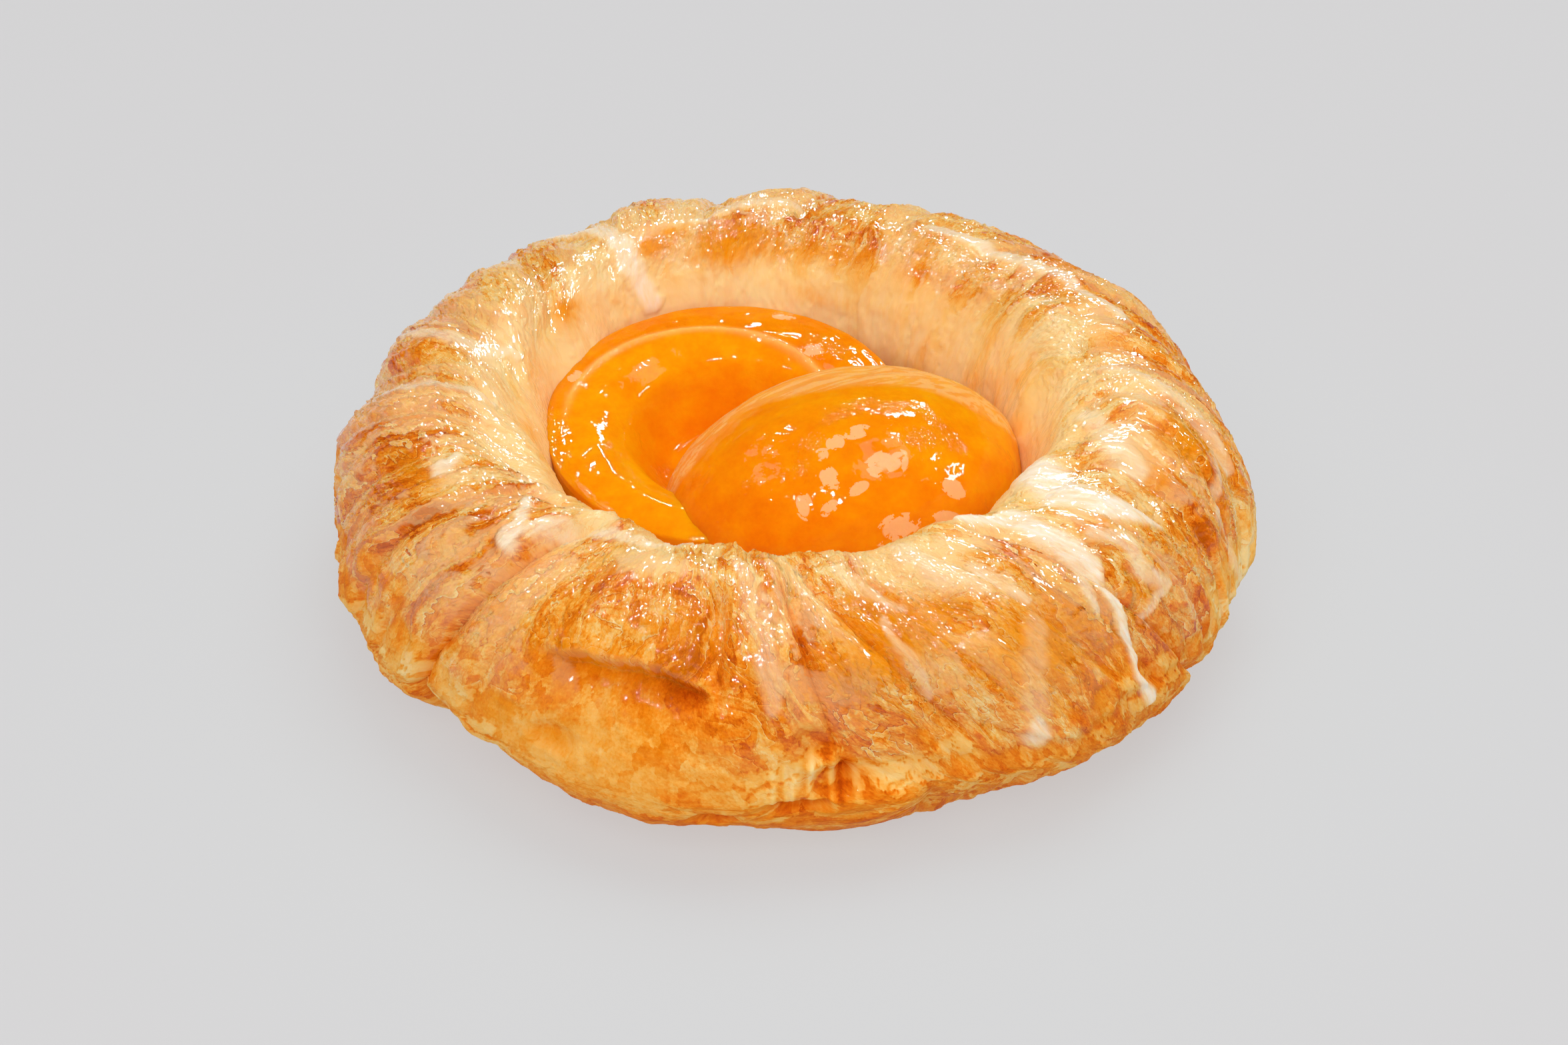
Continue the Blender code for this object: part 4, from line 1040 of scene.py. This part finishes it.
def build_fruit(material):
    """Both apricot halves on polar grids, crowded on the sides that show."""
    turns = np.linspace(0.0, 2.0 * math.pi, FRUIT_COLUMNS, endpoint=False)
    rows = np.interp(np.linspace(0.0, 1.0, FRUIT_ROWS), (0.0, 0.12, 1.0), (0.0, 0.40, 1.0))
    around, along = np.meshgrid(turns, rows)
    reach = np.sin(math.pi * along)
    side_x, side_y = reach * np.cos(around), reach * np.sin(around)
    top = -np.cos(math.pi * along)

    lumps, speckle, reflection_spread, threads, uneven = (
        layered_noise(side_x * x, side_y * y, top * z, seed, octaves, fall)
        for x, y, z, seed, octaves, fall in FRUIT_NOISES
    )
    lumps, speckle, uneven = lumps - 0.5, speckle - 0.5, uneven - 0.5

    relief = (LUMP_HEIGHTS[0] * lumps + SPECKLE_HEIGHT * speckle) * MM
    points, _ = apricot_points(
        around, along, relief, FRONT_MIDDLE, FRONT_HALF_LENGTHS, FRONT_HEIGHTS, FRONT_TILTS
    )
    brow = side_y - np.interp(side_x, *np.array(BROW).T)
    values = {
        # Painted shade: darker towards the left and the low side of the front half
        "ripeness_and_shade": 0.30 - 0.16 * side_x + 0.3 * np.clip(-side_x - 0.5, 0.0, 1.0) - 0.06 * side_y,
        "fibre": smooth_step(brow / 0.10) * (0.35 + 0.65 * smooth_step((threads - 0.47) / 0.08)),
        # Painted reflections: pale patches on the upper side
        "painted_reflection": blots(side_x, side_y, PAINTED_REFLECTION_PATCHES, top) * (0.75 + 0.5 * reflection_spread),
        "beaded": blots(side_x, side_y, SPECKLES, top),
    }
    uv = np.stack((around, along), axis=-1)
    front = grid_mesh("apricot_half_front", points + RING_MIDDLE, values, uv, material, closed_round=True)

    from_ridge = np.hypot(side_x - RIDGE_MIDDLE[0], side_y - RIDGE_MIDDLE[1]) - RIDGE_RADIUS
    ridge = np.exp(-((from_ridge / 0.022) ** 2)) * smooth_step((side_y + 0.1) / 0.4) * smooth_step(top / 0.1)
    skin = smooth_step(from_ridge / 0.05) * smooth_step((side_y + 0.2) / 0.5)
    relief = LUMP_HEIGHTS[1] * lumps + UNEVEN_HEIGHT * uneven + RIDGE_HEIGHT * ridge * (0.7 + 0.9 * uneven)
    points, local = apricot_points(
        around, along, relief * MM, BACK_MIDDLE, BACK_HALF_LENGTHS, BACK_HEIGHTS, BACK_TILTS,
        (SLOPE_STEP, HOLLOW_STEP),
    )
    # Painted shade: darker with depth in the stone hollow
    depth = np.clip((-local[..., 2] - 0.0008) / 0.006, 0.0, 1.0) * (top > 0.0)
    values = {
        "ripeness_and_shade": 0.18 + 0.24 * depth + 0.22 * skin - 0.10 * ridge,
        "fibre": ridge * 0.8,
        # Painted reflections on the back half
        "painted_reflection": blots(side_x, side_y, BACK_PAINTED_REFLECTIONS, top),
        "beaded": np.clip(blots(side_x, side_y, BACK_SPECKLES, top) + 0.6 * ridge, 0.0, 1.0),
    }
    back = grid_mesh("apricot_half_back", points + RING_MIDDLE, values, uv, material, closed_round=True)
    for piece, node in ((front, "apricot_front"), (back, "apricot_back")):
        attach(piece, "root")
        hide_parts(node)


CAMERA_TARGET = (-0.00084, 0.00017, 0.0113)
CAMERA_ELEVATION = 35.2
CAMERA_DISTANCE = 0.4664
CAMERA_LENS_MM = 85.0
SENSOR_WIDTH_MM = 36.0


def add_camera():
    """Camera at the photo's angle: 35 degrees above the floor, from the front."""
    data = bpy.data.cameras.new("camera")
    data.lens = CAMERA_LENS_MM
    data.sensor_width = SENSOR_WIDTH_MM
    camera = bpy.data.objects.new("camera", data)
    bpy.context.scene.collection.objects.link(camera)
    lean = math.radians(CAMERA_ELEVATION)
    back = Vector((0.0, -math.cos(lean), math.sin(lean)))
    camera.location = Vector(CAMERA_TARGET) + back * CAMERA_DISTANCE
    camera.rotation_euler = (-back).to_track_quat("-Z", "Y").to_euler()
    bpy.context.scene.camera = camera


# Where the lights point
LIT_POINT = (0.0, 0.0, 0.015)


def add_softbox(name, place, size, radiance, shows_in):
    """A rectangular light that faces the pastry; its power is radiance * pi * area."""
    data = bpy.data.lights.new(name, "AREA")
    data.shape = "RECTANGLE"
    data.size, data.size_y = size
    data.energy = radiance * math.pi * size[0] * size[1]
    light = bpy.data.objects.new(name, data)
    light.location = place
    light.rotation_euler = (Vector(place) - Vector(LIT_POINT)).to_track_quat("Z", "Y").to_euler()
    light.visible_diffuse = shows_in == "diffuse"
    light.visible_glossy = shows_in == "gloss"
    bpy.context.scene.collection.objects.link(light)


# Strength of the sky's light
SKY = 0.60
# Sky in the gloss: pale at the horizon and dark above; heights as sines, then strengths
SKY_IN_GLOSS = (0.02, 0.22, 0.50, 0.02)
FLOOR_GLOW = 0.50
FLOOR_REACH = 3.0
# Lights: name, place, size, radiance, where it shows
SOFTBOXES = (
    ("overhead_box", (0.11, 0.08, 0.58), (0.50, 0.40), 1.8, "diffuse"),
    ("front_fill", (-0.08, -0.52, 0.52), (0.70, 0.35), 2.5, "diffuse"),
    ("right_panel", (0.21, 0.13, 0.55), (0.20, 0.16), 3.0, "gloss"),
    ("left_panel", (-0.27, 0.18, 0.50), (0.16, 0.12), 3.0, "gloss"),
)
# Small bright windows, seen in the gloss alone: direction and rise in degrees, size, radiance
WINDOWS = (
    (42, 64, (0.045, 0.016), 230), (88, 42, (0.040, 0.016), 230), (152, 58, (0.045, 0.016), 230),
    (118, 50, (0.040, 0.016), 220), (205, 58, (0.045, 0.016), 220), (-95, 76, (0.050, 0.018), 230),
    (-66, 66, (0.036, 0.014), 380), (-122, 68, (0.036, 0.014), 380), (70, 40, (0.130, 0.060), 60),
    (12, 45, (0.110, 0.060), 50),
)
WINDOW_DISTANCE = 0.62


# Colour of the floor by distance from the middle: cooler near the pastry, whose warm light falls there
FLOOR_COLOURS = ((0.050, (0.167, 0.190, 0.194, 1.0)), (0.110, (0.166, 0.170, 0.172, 1.0)))


def add_studio():
    """Pale floor that glows a little, even sky light, soft boxes, and small windows in the gloss only."""
    scene = bpy.context.scene
    scene.view_settings.view_transform = "Standard"
    world = bpy.data.worlds.new("studio")
    scene.world = world
    world.use_nodes = True
    sky = world.node_tree.nodes["Background"]
    sky.inputs["Color"].default_value = (1.0, 0.99, 0.99, 1.0)
    nodes, links = world.node_tree.nodes, world.node_tree.links
    way = nodes.new("ShaderNodeSeparateXYZ")
    links.new(nodes.new("ShaderNodeTexCoord").outputs["Generated"], way.inputs[0])
    in_gloss = nodes.new("ShaderNodeMapRange")
    links.new(way.outputs["Z"], in_gloss.inputs["Value"])
    for socket, value in zip(("From Min", "From Max", "To Min", "To Max"), SKY_IN_GLOSS):
        in_gloss.inputs[socket].default_value = value
    seen = nodes.new("ShaderNodeMix")
    links.new(nodes.new("ShaderNodeLightPath").outputs["Is Glossy Ray"], seen.inputs["Factor"])
    seen.inputs[2].default_value = SKY
    links.new(in_gloss.outputs[0], seen.inputs[3])
    links.new(seen.outputs[0], sky.inputs["Strength"])
    n = Nodes("pale_floor")
    from_middle = n.add("ShaderNodeVectorMath", {"operation": "LENGTH"})
    n.feed(from_middle.inputs[0], n.add("ShaderNodeTexCoord").outputs["Object"])
    n.feed(n.shader.inputs["Base Color"], n.ramp(from_middle.outputs["Value"], FLOOR_COLOURS))
    n.shader.inputs["Roughness"].default_value = 0.9
    n.shader.inputs["Specular IOR Level"].default_value = 0.0
    n.shader.inputs["Emission Color"].default_value = (1.0, 0.985, 0.992, 1.0)
    n.shader.inputs["Emission Strength"].default_value = FLOOR_GLOW
    mesh = bpy.data.meshes.new("floor")
    corners = [(x * FLOOR_REACH, y * FLOOR_REACH, 0.0) for x, y in ((-1, -1), (1, -1), (1, 1), (-1, 1))]
    mesh.from_pydata(corners, [], [(0, 1, 2, 3)])
    mesh.materials.append(n.material)
    floor = bpy.data.objects.new("floor", mesh)
    scene.collection.objects.link(floor)
    for softbox in SOFTBOXES:
        add_softbox(*softbox)
    for number, (direction, rise, size, radiance) in enumerate(WINDOWS):
        turn, lift = math.radians(direction), math.radians(rise)
        level = math.cos(lift)
        place = WINDOW_DISTANCE * Vector((math.cos(turn) * level, math.sin(turn) * level, math.sin(lift)))
        add_softbox(f"window_{number}", place, size, radiance, "gloss")


build_dough(dough_material())
build_fruit(fruit_material())
add_camera()
add_studio()
